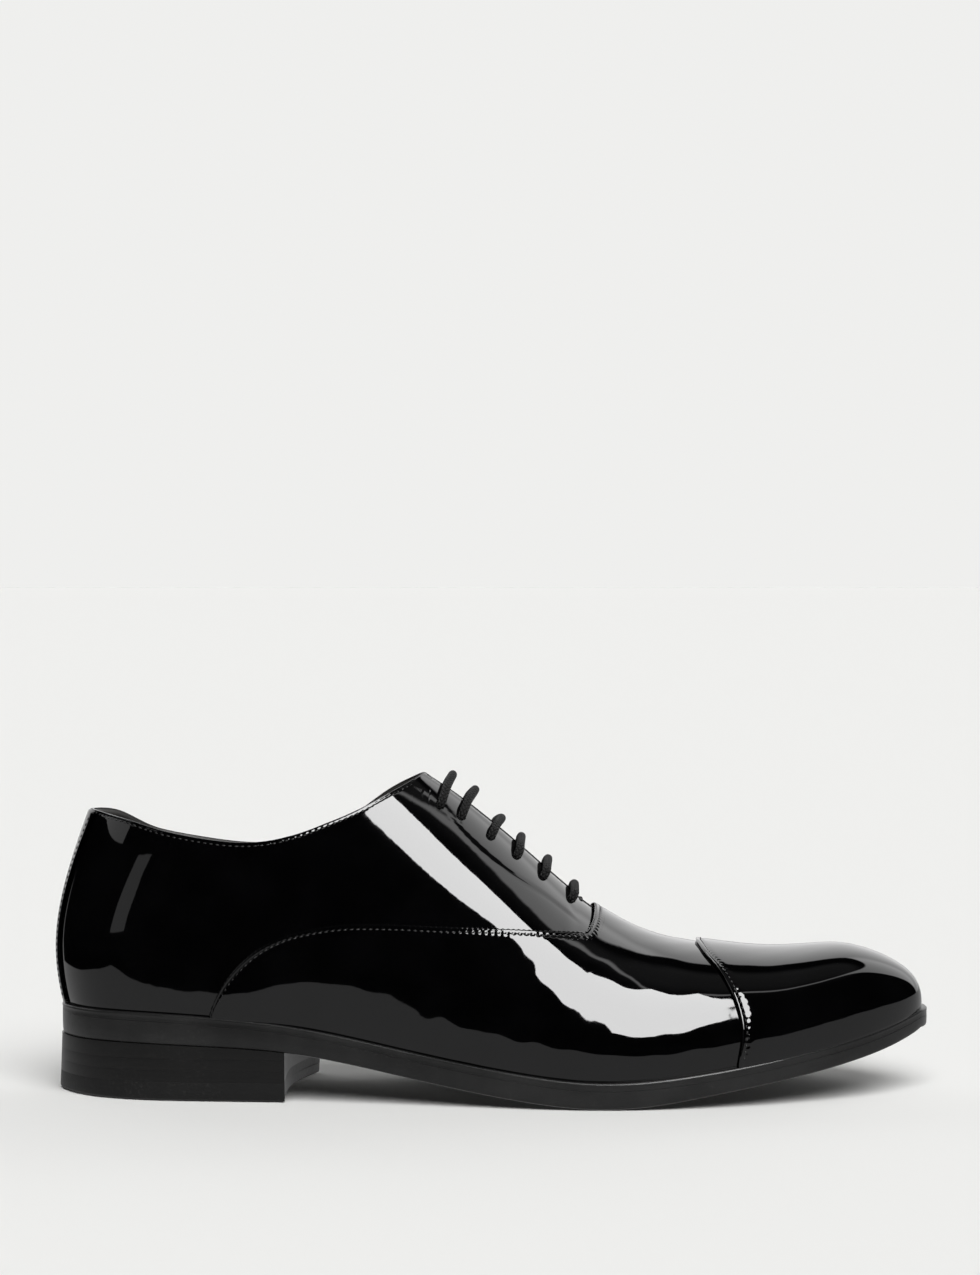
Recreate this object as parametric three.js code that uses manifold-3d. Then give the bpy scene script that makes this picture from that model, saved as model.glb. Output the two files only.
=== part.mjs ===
// Cap-toe oxford shoe for the right foot: laced upper, leather sole and stacked heel.
// Millimetres. +X runs to the toe, +Y to the inner (medial) side, +Z up, floor at Z = 0.
import * as THREE from 'three';
import Module from 'manifold-3d';

const wasm = await Module();
wasm.setup();

// ---------------------------------------------------------------- driving dimensions
const leatherThickness = 1.0;
const stiffenerThickness = 0.6;
const liningThickness = 0.8;
const layerGap = 0.3;
const lapLift = 0.4;
const lapWidth = 8;
const upperClearance = 0.7;
const soleFlange = 1.3;
const toeFlange = 2;
const heelTaper = 2.2;
const heelKick = 0.9;
const weltLayer = 2.8;
const weltWidth = 8.5;
const insoleThickness = 1.8;
const sockThickness = 0.9;
const topPieceThickness = 6.3;
const liftThickness = 3.8;
const heelBreastOuter = -71;
const heelBreastInner = -61.5;
const heelBreastHollow = 5;
const facingGap = 3.0;
const eyeletReach = 13.6;
const eyeletX = [28.6, 18.6, 9.3, 0.2, -10.2, -17.4];
const holeRadius = 1.75;
const eyeletOuter = 2.15;
const eyeletHole = 2.6;
const laceRadius = 1.2;
const laceBend = 1.7;
const barRise = [0.4, 1.1, 0.8, 1.2, 3.3, 3];
const barLean = [0, 0, 0, 1.8, 1.6, 1.2];
const tongueDrop = 7.2;
const tongueThickness = 1.7;
const backStripHalf = 7;
const backStripFlare = 0.6;
const backStripReach = 0.985;
const innerToplineDrop = 5;
const vampSeamEnd = 31;
const vampSeamNose = 6;
const lapEnd = 33;
const lapNose = 10;
const openingCorner = -27;
const openingCornerLength = 5.5;
const heelLeanEnd = 6.5;
const shankWidth = 14;
const shankFrom = 4;
const shankTo = 9;
const corkFrom = 9.4;
const corkTo = 19.6;
const tipLength = 18;
const tipRadius = 1.1;

// ---------------------------------------------------------------- the last, heel to toe
// Each list holds one value per station; a smooth curve is drawn through the run.
const last = {
  x: [-151.9, -146.9, -139.1, -127, -111, -92, -71, -49, -27, -6, 14,
    33, 51, 68, 84, 99, 113, 126, 137.2, 146, 151.4, 152.9],
  half: [0, 12.5, 22.6, 29.2, 32.4, 33.5, 33.6, 33.7, 34.9, 38.2, 43.1,
    47.2, 49.4, 49.2, 46.9, 43.1, 38, 31.6, 24.4, 16.6, 8.6, 0],
  lean: [0, 0, 0, -0.1, -0.3, -0.9, -2.6, -5.4, -7.9, -9, -8,
    -6, -3.9, -2.3, -1.1, -0.4, 0, 0, 0, 0, 0, 0],
  ridgeY: [0, 0, 0, 0, 0, 0.3, 0.6, 1, 1.5, 2, 2.5,
    3, 3.3, 3.5, 3.5, 3.4, 3.3, 3.2, 3.1, 3, 3, 3],
  seat: [30.3, 30.4, 30.6, 30.6, 30.1, 28.9, 26.9, 22.9, 18.1, 14.1, 10.9,
    8.7, 9.1, 11, 13.2, 15.6, 18.1, 20.7, 23.4, 26, 27.8, 28.4],
  tread: [19.6, 19.7, 19.9, 19.9, 19.4, 18.7, 17.5, 13.8, 9, 4.9, 1.7,
    -0.4, 0.1, 2.8, 5.5, 8, 10.5, 13.2, 16, 18.8, 21, 22],
  height: [77, 78, 80, 83, 86.5, 90, 95.5, 100, 95.6, 85, 71,
    56, 44.6, 39.5, 34.9, 30.9, 29.1, 28, 22.2, 15.3, 8.5, 0],
  square: [0.04, 0.04, 0.04, 0.04, 0.035, 0.02, 0, -0.01, -0.01, -0.01, 0,
    0.01, 0.02, 0.03, 0.035, 0.04, 0.045, 0.05, 0.05, 0.05, 0.05, 0.05],
  tuck: [13, 13, 13, 13, 13, 12, 11, 10, 9, 9, 10,
    11, 11, 11, 10, 9, 9, 9, 9, 9, 9, 9],
};
const stations = last.x.length - 1;
const vanishing = { half: [-1, -1], height: [1, -1] };

const toeCapEdge = [[0, 73.2], [0.2, 74.9], [0.42, 80], [0.6, 83.6], [0.8, 85.9], [1, 84.6]];
const topline = [[-152, 99.2], [-141, 99], [-127, 96.9], [-111, 92.8], [-92, 89.7], [-80, 89.6],
  [-68, 92], [-57, 95.9], [-46, 100.4], [-35, 106], [-26, 110.4], [-19, 113]];
const seamHeights = [[-97, 29], [-94.6, 35.5], [-90, 43.2], [-82, 51.3], [-72.7, 56.6],
  [-62, 59.6], [-49.6, 61.3], [-33.7, 61.4], [-17.9, 60.7], [-2, 60.1], [9.5, 59.5],
  [18, 58.8], [25, 58.2], [31, 57.6]];
const lapHeights = [[-90.5, 28], [-88.4, 33], [-84.5, 39.2], [-78.5, 45.7], [-70.5, 50.6],
  [-61, 53.6], [-49.3, 55.3], [-33.7, 55.4], [-18, 54.7], [-2, 54.1], [10, 53.4],
  [20, 52.7], [28, 51.9], [33, 51.4]];

// ---------------------------------------------------------------- curves of the last
function run(name, v) {
  const list = last[name];
  const signs = vanishing[name] ?? [1, 1];
  const at = (i) => {
    if (i < 0) return signs[0] * list[-i];
    if (i > stations) return signs[1] * list[2 * stations - i];
    return list[i];
  };
  const base = Math.min(Math.floor(v), stations - 1);
  const f = v - base;
  const g = 1 - f;
  return (g * g * g * at(base - 1)
    + (3 * f * f * f - 6 * f * f + 4) * at(base)
    + (3 * g * g * g - 6 * g * g + 4) * at(base + 1)
    + f * f * f * at(base + 2)) / 6;
}

function stationAt(x) {
  let low = 0;
  let high = stations;
  for (let i = 0; i < 40; i += 1) {
    const mid = (low + high) / 2;
    if (run('x', mid) < x) low = mid;
    else high = mid;
  }
  return (low + high) / 2;
}

// Height or reach read off a short list of points with a smooth curve between them.
function along(points, x) {
  const n = points.length;
  if (x <= points[0][0]) return points[0][1];
  if (x >= points[n - 1][0]) return points[n - 1][1];
  let k = 0;
  while (points[k + 1][0] < x) k += 1;
  const slope = (i) => {
    const a = points[Math.max(i - 1, 0)];
    const b = points[Math.min(i + 1, n - 1)];
    return (b[1] - a[1]) / (b[0] - a[0]);
  };
  const [x0, y0] = points[k];
  const [x1, y1] = points[k + 1];
  const w = x1 - x0;
  const f = (x - x0) / w;
  const f2 = f * f;
  const f3 = f2 * f;
  return (2 * f3 - 3 * f2 + 1) * y0 + (f3 - 2 * f2 + f) * w * slope(k)
    + (3 * f2 - 2 * f3) * y1 + (f3 - f2) * w * slope(k + 1);
}

function smooth(f) {
  const c = Math.min(Math.max(f, 0), 1);
  return c * c * c * (c * (6 * c - 15) + 10);
}

function sectionAt(v) {
  const q = run('square', v);
  const widest = Math.PI / 2 + THREE.MathUtils.degToRad(run('tuck', v));
  const bottom = run('seat', v) + upperClearance;
  const rise = run('height', v);
  const k = (Math.cos(widest) - q * Math.cos(3 * widest)) / (1 - q);
  const reach = rise / (1 - k);
  return { q, widest, reach, waist: bottom + rise - reach };
}

// How far the back of the heel leans at each height: out over the counter, in at the top.
function heelLean(z) {
  const r = (z - 50) / 49;
  return 21.2 * (Math.sqrt(r * r + 0.36) - 0.6) - 3.1;
}

// Outer skin of the upper: v runs heel to toe, s from -1 (outer side) over 0 to +1 (inner side).
function skin(v, s) {
  if (v < 0) return skin(-v, -s);
  const c = sectionAt(v);
  const turn = s * c.widest;
  const side = (Math.sin(turn) + c.q * Math.sin(3 * turn)) / (1 - c.q);
  const up = (Math.cos(turn) - c.q * Math.cos(3 * turn)) / (1 - c.q);
  const z = c.waist + c.reach * up;
  const x = run('x', v) + heelLean(z) * (1 - smooth(v / heelLeanEnd));
  const y = run('ridgeY', v) + run('half', v) * side + run('lean', v) * side * side;
  return new THREE.Vector3(x, y, z);
}

function outward(v, s) {
  if (v < 0) return outward(-v, -s);
  if (v > stations - 0.02) return new THREE.Vector3(1, 0, 0);
  const e = 0.01;
  const vv = Math.max(v, e);
  const ss = Math.min(Math.max(s, -1 + e), 1 - e);
  const alongV = skin(vv + e, ss).sub(skin(vv - e, ss));
  const alongS = skin(vv, ss + e).sub(skin(vv, ss - e));
  const n = alongS.cross(alongV).normalize().negate();
  n.z *= smooth((1 - Math.abs(s)) / 0.12);
  if (v < 0.02) n.y = 0;
  return n.normalize();
}

function raised(v, s, offset) {
  return skin(v, s).addScaledVector(outward(v, s), offset);
}

function spanAtHeight(v, z) {
  const c = sectionAt(v);
  let low = 0;
  let high = 1;
  for (let i = 0; i < 40; i += 1) {
    const mid = (low + high) / 2;
    const turn = mid * c.widest;
    const up = (Math.cos(turn) - c.q * Math.cos(3 * turn)) / (1 - c.q);
    if (c.waist + c.reach * up > z) low = mid;
    else high = mid;
  }
  return (low + high) / 2;
}

// Share of the section that a distance over the surface from the centre line takes up.
function spanOfReach(v, reach) {
  const c = sectionAt(v);
  return Math.asin(Math.min(reach / run('half', v), 0.98)) / c.widest / (1 + 2 * c.q);
}

// ---------------------------------------------------------------- edges of the panels
function seamSpan(v) {
  const x = run('x', v);
  if (x <= seamHeights[0][0]) return 1;
  if (x < vampSeamEnd) return spanAtHeight(v, along(seamHeights, x));
  if (x >= vampSeamEnd + vampSeamNose) return 0;
  const start = spanAtHeight(stationAt(vampSeamEnd), seamHeights.at(-1)[1]);
  return start * Math.sqrt(1 - ((x - vampSeamEnd) / vampSeamNose) ** 2);
}

function lapSpan(v) {
  const x = run('x', v);
  if (x <= lapHeights[0][0]) return 1;
  if (x < lapEnd) return spanAtHeight(v, along(lapHeights, x));
  const start = spanAtHeight(stationAt(lapEnd), lapHeights.at(-1)[1]);
  return start * Math.sqrt(1 - ((x - lapEnd) / lapNose) ** 2);
}

// The foot opening is lower along the inner side, where the ankle bone sits.
function topSpan(v, side = 0) {
  const x = run('x', v);
  const edge = spanOfReach(v, facingGap);
  if (x >= openingCorner + openingCornerLength) return edge;
  const leaned = x + heelLean(99) * (1 - smooth(v / heelLeanEnd));
  const inner = side > 0 ? smooth((x + 150) / 30) * (1 - smooth((x + 62) / 34)) : 0;
  const line = spanAtHeight(v, along(topline, leaned) - innerToplineDrop * inner);
  if (x < openingCorner) return line;
  return edge + (line - edge) * Math.sqrt(1 - ((x - openingCorner) / openingCornerLength) ** 2);
}

function capStation(s) {
  return stationAt(along(toeCapEdge, Math.abs(s)));
}

// ---------------------------------------------------------------- closed bodies
// A sheet is a net of cells; giving it two skins and a rim makes one closed body.
function net(columns, rows, place, closedRows = false) {
  const points = [];
  const faces = [];
  for (let i = 0; i <= columns; i += 1) {
    for (let j = 0; j <= rows; j += 1) points.push(place(i, j));
  }
  const lastRow = closedRows ? rows + 1 : rows;
  for (let i = 0; i < columns; i += 1) {
    for (let j = 0; j < lastRow; j += 1) {
      const a = i * (rows + 1) + j;
      const b = i * (rows + 1) + ((j + 1) % (rows + 1));
      const c = a + rows + 1;
      const d = b + rows + 1;
      faces.push([a, c, b], [b, c, d]);
    }
  }
  return { points, faces };
}

function joined(sheets) {
  const points = [];
  const faces = [];
  for (const sheet of sheets) {
    const start = points.length;
    points.push(...sheet.points);
    for (const face of sheet.faces) faces.push(face.map((i) => i + start));
  }
  return { points, faces };
}

function weld(points, faces) {
  const seen = new Map();
  const kept = [];
  const index = points.map((p) => {
    const key = p.map((c) => Math.round(c * 200)).join(',');
    if (!seen.has(key)) {
      seen.set(key, kept.length);
      kept.push(p);
    }
    return seen.get(key);
  });
  const clean = [];
  for (const face of faces) {
    const [a, b, c] = face.map((i) => index[i]);
    if (a !== b && b !== c && a !== c) clean.push([a, b, c]);
  }
  return { points: kept, faces: clean, index };
}

function bodyFrom(points, faces) {
  const solid = weld(points, faces);
  let volume = 0;
  for (const [a, b, c] of solid.faces) {
    const [p, q, r] = [a, b, c].map((i) => new THREE.Vector3(...solid.points[i]));
    volume += p.dot(q.cross(r)) / 6;
  }
  if (volume < 0) solid.faces.forEach((face) => face.reverse());
  return solid;
}

// upper and lower give the two skins as points for each net point.
function slab(sheet, upper, lower) {
  const over = sheet.points.map((p) => upper(...p).toArray());
  const under = sheet.points.map((p) => lower(...p).toArray());
  const flat = weld(over, sheet.faces);
  const lowPoint = [];
  sheet.points.forEach((p, i) => {
    lowPoint[flat.index[i]] ??= under[i];
  });
  const count = flat.points.length;
  const faces = [];
  const edges = new Map();
  for (const [a, b, c] of flat.faces) {
    faces.push([a, b, c], [a + count, c + count, b + count]);
    for (const [p, q] of [[a, b], [b, c], [c, a]]) {
      if (edges.has(`${q},${p}`)) edges.delete(`${q},${p}`);
      else edges.set(`${p},${q}`, [p, q]);
    }
  }
  for (const [p, q] of edges.values()) {
    faces.push([q, p, p + count], [q, p + count, q + count]);
  }
  return bodyFrom([...flat.points, ...lowPoint], faces);
}

function shell(sheet, outer, inner) {
  const pick = (o) => (typeof o === 'function' ? o : () => o);
  const [over, under] = [pick(outer), pick(inner)];
  return slab(sheet, (v, s) => raised(v, s, over(v, s)), (v, s) => raised(v, s, under(v, s)));
}

function toManifold(solid) {
  return new wasm.Manifold(new wasm.Mesh({
    numProp: 3,
    vertProperties: new Float32Array(solid.points.flat()),
    triVerts: new Uint32Array(solid.faces.flat()),
  }));
}

function fromManifold(body) {
  const mesh = body.getMesh();
  const points = [];
  for (let i = 0; i < mesh.vertProperties.length; i += mesh.numProp) {
    points.push(Array.from(mesh.vertProperties.slice(i, i + 3)));
  }
  const faces = [];
  for (let i = 0; i < mesh.triVerts.length; i += 3) {
    faces.push(Array.from(mesh.triVerts.slice(i, i + 3)));
  }
  return bodyFrom(points, faces);
}

function turned(profile, sides, place) {
  const sheet = net(sides - 1, profile.length - 1, (i, j) => {
    const angle = (2 * Math.PI * i) / sides;
    const [r, h] = profile[j];
    return place(r * Math.cos(angle), r * Math.sin(angle), h).toArray();
  }, true);
  const step = profile.length;
  for (let j = 0; j < step; j += 1) {
    const a = (sides - 1) * step + j;
    const b = (sides - 1) * step + ((j + 1) % step);
    const c = j;
    const d = (j + 1) % step;
    sheet.faces.push([a, c, b], [b, c, d]);
  }
  return bodyFrom(sheet.points, sheet.faces);
}

function frameOn(v, s) {
  const normal = outward(v, s);
  const ahead = skin(v + 0.02, s).sub(skin(v - 0.02, s)).normalize();
  const across = new THREE.Vector3().crossVectors(normal, ahead).normalize();
  const origin = skin(v, s);
  return (a, b, h) => origin.clone().addScaledVector(ahead, a)
    .addScaledVector(across, b).addScaledVector(normal, h);
}

// ---------------------------------------------------------------- scene assembly
const leather = { color: 0x0b0b0c, roughness: 0.12, metalness: 0 };
const darkLeather = { color: 0x1c1b1a, roughness: 0.35, metalness: 0 };
const liningLeather = { color: 0x9c7f5c, roughness: 0.7, metalness: 0 };
const board = { color: 0x8f7654, roughness: 0.85, metalness: 0 };
const corkLook = { color: 0xa87f52, roughness: 0.95, metalness: 0 };
const steel = { color: 0x8d9094, roughness: 0.4, metalness: 1 };
const rubber = { color: 0x171717, roughness: 0.6, metalness: 0 };
const cordLook = { color: 0x101010, roughness: 0.5, metalness: 0 };
const stiffener = { color: 0xb9ab92, roughness: 0.8, metalness: 0 };

const shoe = new THREE.Group();
shoe.name = 'oxford_shoe';

function add(name, solid, look) {
  const geometry = new THREE.BufferGeometry();
  geometry.setAttribute('position', new THREE.Float32BufferAttribute(solid.points.flat(), 3));
  geometry.setIndex(solid.faces.flat());
  geometry.computeVertexNormals();
  const mesh = new THREE.Mesh(geometry, new THREE.MeshStandardMaterial(look));
  mesh.name = name;
  shoe.add(mesh);
}

// ---------------------------------------------------------------- sole and heel
function rim(v, side, inset) {
  const e = 0.01;
  const mid = Math.min(Math.max(v, e), stations - e);
  const before = skin(mid - e, side);
  const after = skin(mid + e, side);
  const here = skin(v, side);
  const heading = new THREE.Vector2(after.x - before.x, after.y - before.y).normalize();
  const out = new THREE.Vector2(heading.y * side * -1, heading.x * side);
  if (v < e) out.set(-1, 0);
  if (v > stations - e) out.set(1, 0);
  const shift = inset < 0 ? inset - toeFlange * smooth((v - 18.6) / 2.4) : inset;
  return new THREE.Vector2(here.x - out.x * shift, here.y - out.y * shift);
}

function across(v, share, inset) {
  return rim(v, -1, inset).lerp(rim(v, 1, inset), share);
}

const seatZ = (x) => run('seat', stationAt(x));
const treadZ = (x) => Math.max(run('tread', stationAt(x)), 0);

function soleStations(from, to, count) {
  const list = [];
  for (let i = 0; i <= count; i += 1) list.push(from + ((to - from) * i) / count);
  return list;
}

function plate(columns, rows, inset, top, bottom) {
  const sheet = net(columns.length - 1, rows, (i, j) => [columns[i], j / rows]);
  const at = (v, f, height) => {
    const p = across(v, f, inset);
    return new THREE.Vector3(p.x, p.y, height(p.x));
  };
  return slab(sheet, (v, f) => at(v, f, top), (v, f) => at(v, f, bottom));
}

const fullLength = soleStations(0, stations, 26);
add('outsole', plate(fullLength, 4, -soleFlange,
  (x) => seatZ(x) - weltLayer - layerGap - 0.1 - 0.6 * smooth((x - 136) / 12), treadZ), darkLeather);

function weltRing() {
  const loop = [];
  for (const v of fullLength) loop.push([v, -1]);
  for (const v of [...fullLength].reverse()) loop.push([v, 1]);
  const corners = [[-soleFlange, 0], [-soleFlange, -weltLayer],
    [weltWidth, -weltLayer], [weltWidth, 0]];
  const sheet = net(loop.length - 1, 3, (i, j) => {
    const [v, side] = loop[i];
    const p = rim(v, side, corners[j][0]);
    return [p.x, p.y, seatZ(p.x) + corners[j][1]];
  }, true);
  return bodyFrom(sheet.points, sheet.faces);
}
add('welt', weltRing(), darkLeather);

add('cork_filler', plate(soleStations(corkFrom, corkTo, 11), 4, weltWidth + 0.5,
  (x) => seatZ(x) - 0.1, (x) => seatZ(x) - weltLayer + 0.1), corkLook);

function shankBar() {
  const sheet = net(10, 2, (i, j) => [shankFrom + ((shankTo - shankFrom) * i) / 10, j - 1]);
  const at = (v, f, drop) => {
    const mid = across(v, 0.5, 0);
    return new THREE.Vector3(mid.x, mid.y + (shankWidth / 2) * f, seatZ(mid.x) - drop);
  };
  return slab(sheet, (v, f) => at(v, f, 0.7), (v, f) => at(v, f, 2.3));
}
add('shank', shankBar(), steel);

const insoleInset = leatherThickness + stiffenerThickness + liningThickness + 3 * layerGap + 0.3;
const insoleTop = layerGap + insoleThickness;
const insideLength = soleStations(0, stations, 20);
add('insole_board', plate(insideLength, 4, insoleInset,
  (x) => seatZ(x) + insoleTop, (x) => seatZ(x) + layerGap), board);
add('sock_lining', plate(insideLength, 4, insoleInset + 0.2,
  (x) => seatZ(x) + insoleTop + layerGap + sockThickness,
  (x) => seatZ(x) + insoleTop + layerGap), liningLeather);

// Heel lifts share the sole outline at the back and end in the hollowed breast.
function heelPlan(i, j, columns, rows, flare) {
  const turnV = 5.0;
  const f = j / rows;
  const inset = -soleFlange + heelTaper * flare;
  const steps = columns - 3;
  const back = new THREE.Vector2(-(heelTaper + heelKick) * flare, 0);
  if (i <= steps) {
    const p = across((turnV * i) / steps, f, inset);
    return p.addScaledVector(back, (1 - i / steps) ** 2);
  }
  const start = across(turnV, f, inset);
  const side = stationAt(heelBreastOuter);
  const y = THREE.MathUtils.lerp(rim(side, -1, inset).y, rim(side, 1, inset).y, f);
  const bow = 4 * f * (1 - f);
  const x = THREE.MathUtils.lerp(heelBreastOuter, heelBreastInner, f) - heelBreastHollow * bow;
  return start.lerp(new THREE.Vector2(x, y), (i - steps) / 3);
}

function lift(top, bottom, flareTop, flareBottom) {
  const [columns, rows] = [12, 4];
  const sheet = net(columns, rows, (i, j) => [i, j]);
  const at = (i, j, flare, height) => {
    const p = heelPlan(i, j, columns, rows, flare);
    return new THREE.Vector3(p.x, p.y, height(p.x));
  };
  return slab(sheet, (i, j) => at(i, j, flareTop, top), (i, j) => at(i, j, flareBottom, bottom));
}

const flareAt = (z) => 1 - z / 20;
const underSole = (x) => treadZ(x) - layerGap;
add('heel_top_piece', lift(() => topPieceThickness, () => 0,
  flareAt(topPieceThickness), flareAt(0)), rubber);
for (let k = 0; k < 2; k += 1) {
  const low = topPieceThickness + layerGap + k * (liftThickness + layerGap);
  add(`heel_lift_${k + 1}`, lift(() => low + liftThickness, () => low,
    flareAt(low + liftThickness), flareAt(low)), darkLeather);
}
const wedgeFloor = topPieceThickness + layerGap + 2 * (liftThickness + layerGap);
add('heel_seat_lift', lift(underSole, () => wedgeFloor, flareAt(18), flareAt(wedgeFloor)),
  darkLeather);

// ---------------------------------------------------------------- upper panels
const quarterX = [-134, -123, -111, -101, -95, -90.5, -88, -84, -78, -70, -61, -52, -43,
  -35, -29, -26, -23.5, -22, -21.5, -16, -8, 0, 8, 16, 23, 29, 33, 37, 40, 42.5];
const heelSteps = [0.02, 0.5, 1, 1.5, 2];
const quarterStations = [...heelSteps, ...quarterX.map(stationAt)];
const quarterRows = 7;

function quarterSheet(side) {
  return net(quarterStations.length - 1, quarterRows, (i, j) => {
    const v = quarterStations[i];
    const f = j / quarterRows;
    return [v, side * (lapSpan(v) * (1 - f) + topSpan(v, side) * f)];
  });
}

const seamX = [-97, -95.8, -93.5, -90, -85, -78, -70, -61, -52, -42, -31, -20, -9, 2, 11,
  19, 25, 29, 31.5, 33.5, 35, 36.2, 37];
const vampStations = seamX.map(stationAt);
const toeStart = 14.4;
const toeStations = soleStations(toeStart, stations, 10);
const midStations = soleStations(stationAt(43), toeStart, 4);
const frontStations = [...midStations, ...toeStations.slice(1)];
const vampRows = 7;

function vampSheet() {
  const halves = [];
  for (const side of [-1, 1]) {
    halves.push(net(vampStations.length - 1, vampRows, (i, j) => {
      const v = vampStations[i];
      const f = j / vampRows;
      return [v, side * (1 - (1 - seamSpan(v)) * f)];
    }));
    const front = [vampStations.at(-1), ...frontStations];
    halves.push(net(front.length - 1, vampRows,
      (i, j) => [front[i], side * (1 - j / vampRows)]));
  }
  halves[2].faces.forEach((face) => face.reverse());
  halves[3].faces.forEach((face) => face.reverse());
  return joined(halves);
}

const seamLine = [];
for (const v of soleStations(stationAt(-97) + 0.001, stationAt(36.99), 120)) {
  seamLine.push(skin(v, seamSpan(v)), skin(v, -seamSpan(v)));
}

function seamDistance(v, s) {
  const p = skin(v, s);
  return Math.min(...seamLine.map((q) => q.distanceTo(p)));
}

function vampLift(v, s) {
  return (lapLift + leatherThickness) * (1 - smooth((seamDistance(v, s) - lapWidth) / 8));
}

add('vamp', shell(vampSheet(), vampLift, (v, s) => vampLift(v, s) - leatherThickness), leather);

function toeCapSheet() {
  return net(toeStations.length, 2 * vampRows, (i, j) => {
    const s = j / vampRows - 1;
    return [i === 0 ? capStation(s) : toeStations[i - 1], s];
  });
}
add('toe_cap', shell(toeCapSheet(), lapLift + leatherThickness, lapLift), leather);

const stiffOuter = -leatherThickness - layerGap;
const stiffInner = stiffOuter - stiffenerThickness;
const liningOuter = stiffInner - layerGap;
const liningInner = liningOuter - liningThickness;

function holeThrough(v, s, radius) {
  const at = frameOn(v, s);
  return toManifold(turned([[0, -5], [radius, -5], [radius, 3], [0, 3]], 10, at));
}

const eyelets = [];
for (const x of eyeletX) {
  const v = stationAt(x);
  eyelets.push([v, spanOfReach(v, eyeletReach)]);
}

function pierced(solid, side, radius) {
  let body = toManifold(solid);
  for (const [v, span] of eyelets) body = body.subtract(holeThrough(v, side * span, radius));
  return fromManifold(body);
}

const liningStations = [...heelSteps, ...[-134, -123, -111, -101, -90.5, -78, -64, -50, -38,
  -30, -25, -22, -21.5, -12, -2, 8, 18, 26, 34, 42].map(stationAt)];
const sideNames = [[-1, 'lateral'], [1, 'medial']];
for (const [side, word] of sideNames) {
  const dip = (v) => -0.35 * smooth((run('x', v) - 26) / 6);
  const outer = shell(quarterSheet(side), dip, (v) => dip(v) - leatherThickness);
  add(`quarter_${word}`, pierced(outer, side, holeRadius), leather);
  const rows = quarterRows;
  const lining = net(liningStations.length - 1, rows, (i, j) => {
    const v = liningStations[i];
    return [v, side * (1 - (1 - topSpan(v, side)) * (j / rows))];
  });
  add(`quarter_lining_${word}`, pierced(shell(lining, liningOuter, liningInner), side,
    eyeletHole), liningLeather);
}

const vampLining = net(frontStations.length - 1, 2 * vampRows,
  (i, j) => [frontStations[i], j / vampRows - 1]);
add('vamp_lining', shell(vampLining, liningOuter, liningInner), liningLeather);

const puff = net(toeStations.length - 2, 2 * vampRows,
  (i, j) => [toeStations[i + 1], j / vampRows - 1]);
add('toe_puff', shell(puff, stiffOuter, stiffInner), stiffener);

const counterSteps = [0, ...heelSteps.slice(1), ...[-134, -123, -111, -101].map(stationAt)];
const counterReach = counterSteps.length - 1;
const counter = net(2 * counterReach, 4, (i, j) => {
  const v = counterSteps[Math.abs(i - counterReach)];
  return [v * Math.sign(i - counterReach), 1 - (1 - topSpan(v)) * (j / quarterRows)];
});
add('heel_counter', shell(counter, stiffOuter, stiffInner), stiffener);

function stripSheet() {
  return net(6, 12, (i, j) => {
    const f = j / 12;
    const half = (backStripHalf + backStripFlare * (2 * f - 1) ** 2) * (i / 3 - 1);
    const span = (v) => 1 - (1 - topSpan(v)) * f * backStripReach;
    let v = 0;
    while (Math.abs(skin(v, span(v)).y) < Math.abs(half)) v += 0.005;
    return [v * Math.sign(half || 1), span(v)];
  });
}
add('back_strip', shell(stripSheet(), lapLift + leatherThickness - 0.2, lapLift), leather);

// ---------------------------------------------------------------- tongue, eyelets, lace
const tongueFront = stationAt(47);
const tongueTop = stationAt(-24);
const tongueSheet = net(14, 6, (i, j) => {
  const f = i / 14;
  const v = tongueFront + (tongueTop - tongueFront) * f;
  const half = 14 + 6 * smooth(f) - 7 * smooth((f - 0.9) / 0.1);
  return [v, spanOfReach(v, Math.abs(half * (j / 3 - 1))) * Math.sign(j / 3 - 1)];
});
add('tongue', shell(tongueSheet, -tongueDrop, -tongueDrop - tongueThickness), leather);

eyelets.forEach(([v, span], k) => {
  for (const [side, word] of sideNames) {
    const at = frameOn(v, side * span);
    const low = liningInner - 0.85;
    const high = -leatherThickness - 0.5;
    const bore = holeRadius - 0.1;
    const flange = eyeletOuter + 0.7;
    const profile = [[bore, low], [flange, low], [flange, low + 0.25],
      [eyeletOuter, low + 0.25], [eyeletOuter, high], [bore, high]];
    add(`eyelet_${word}_${k + 1}`, turned(profile, 8, at), steel);
  }
});

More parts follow.
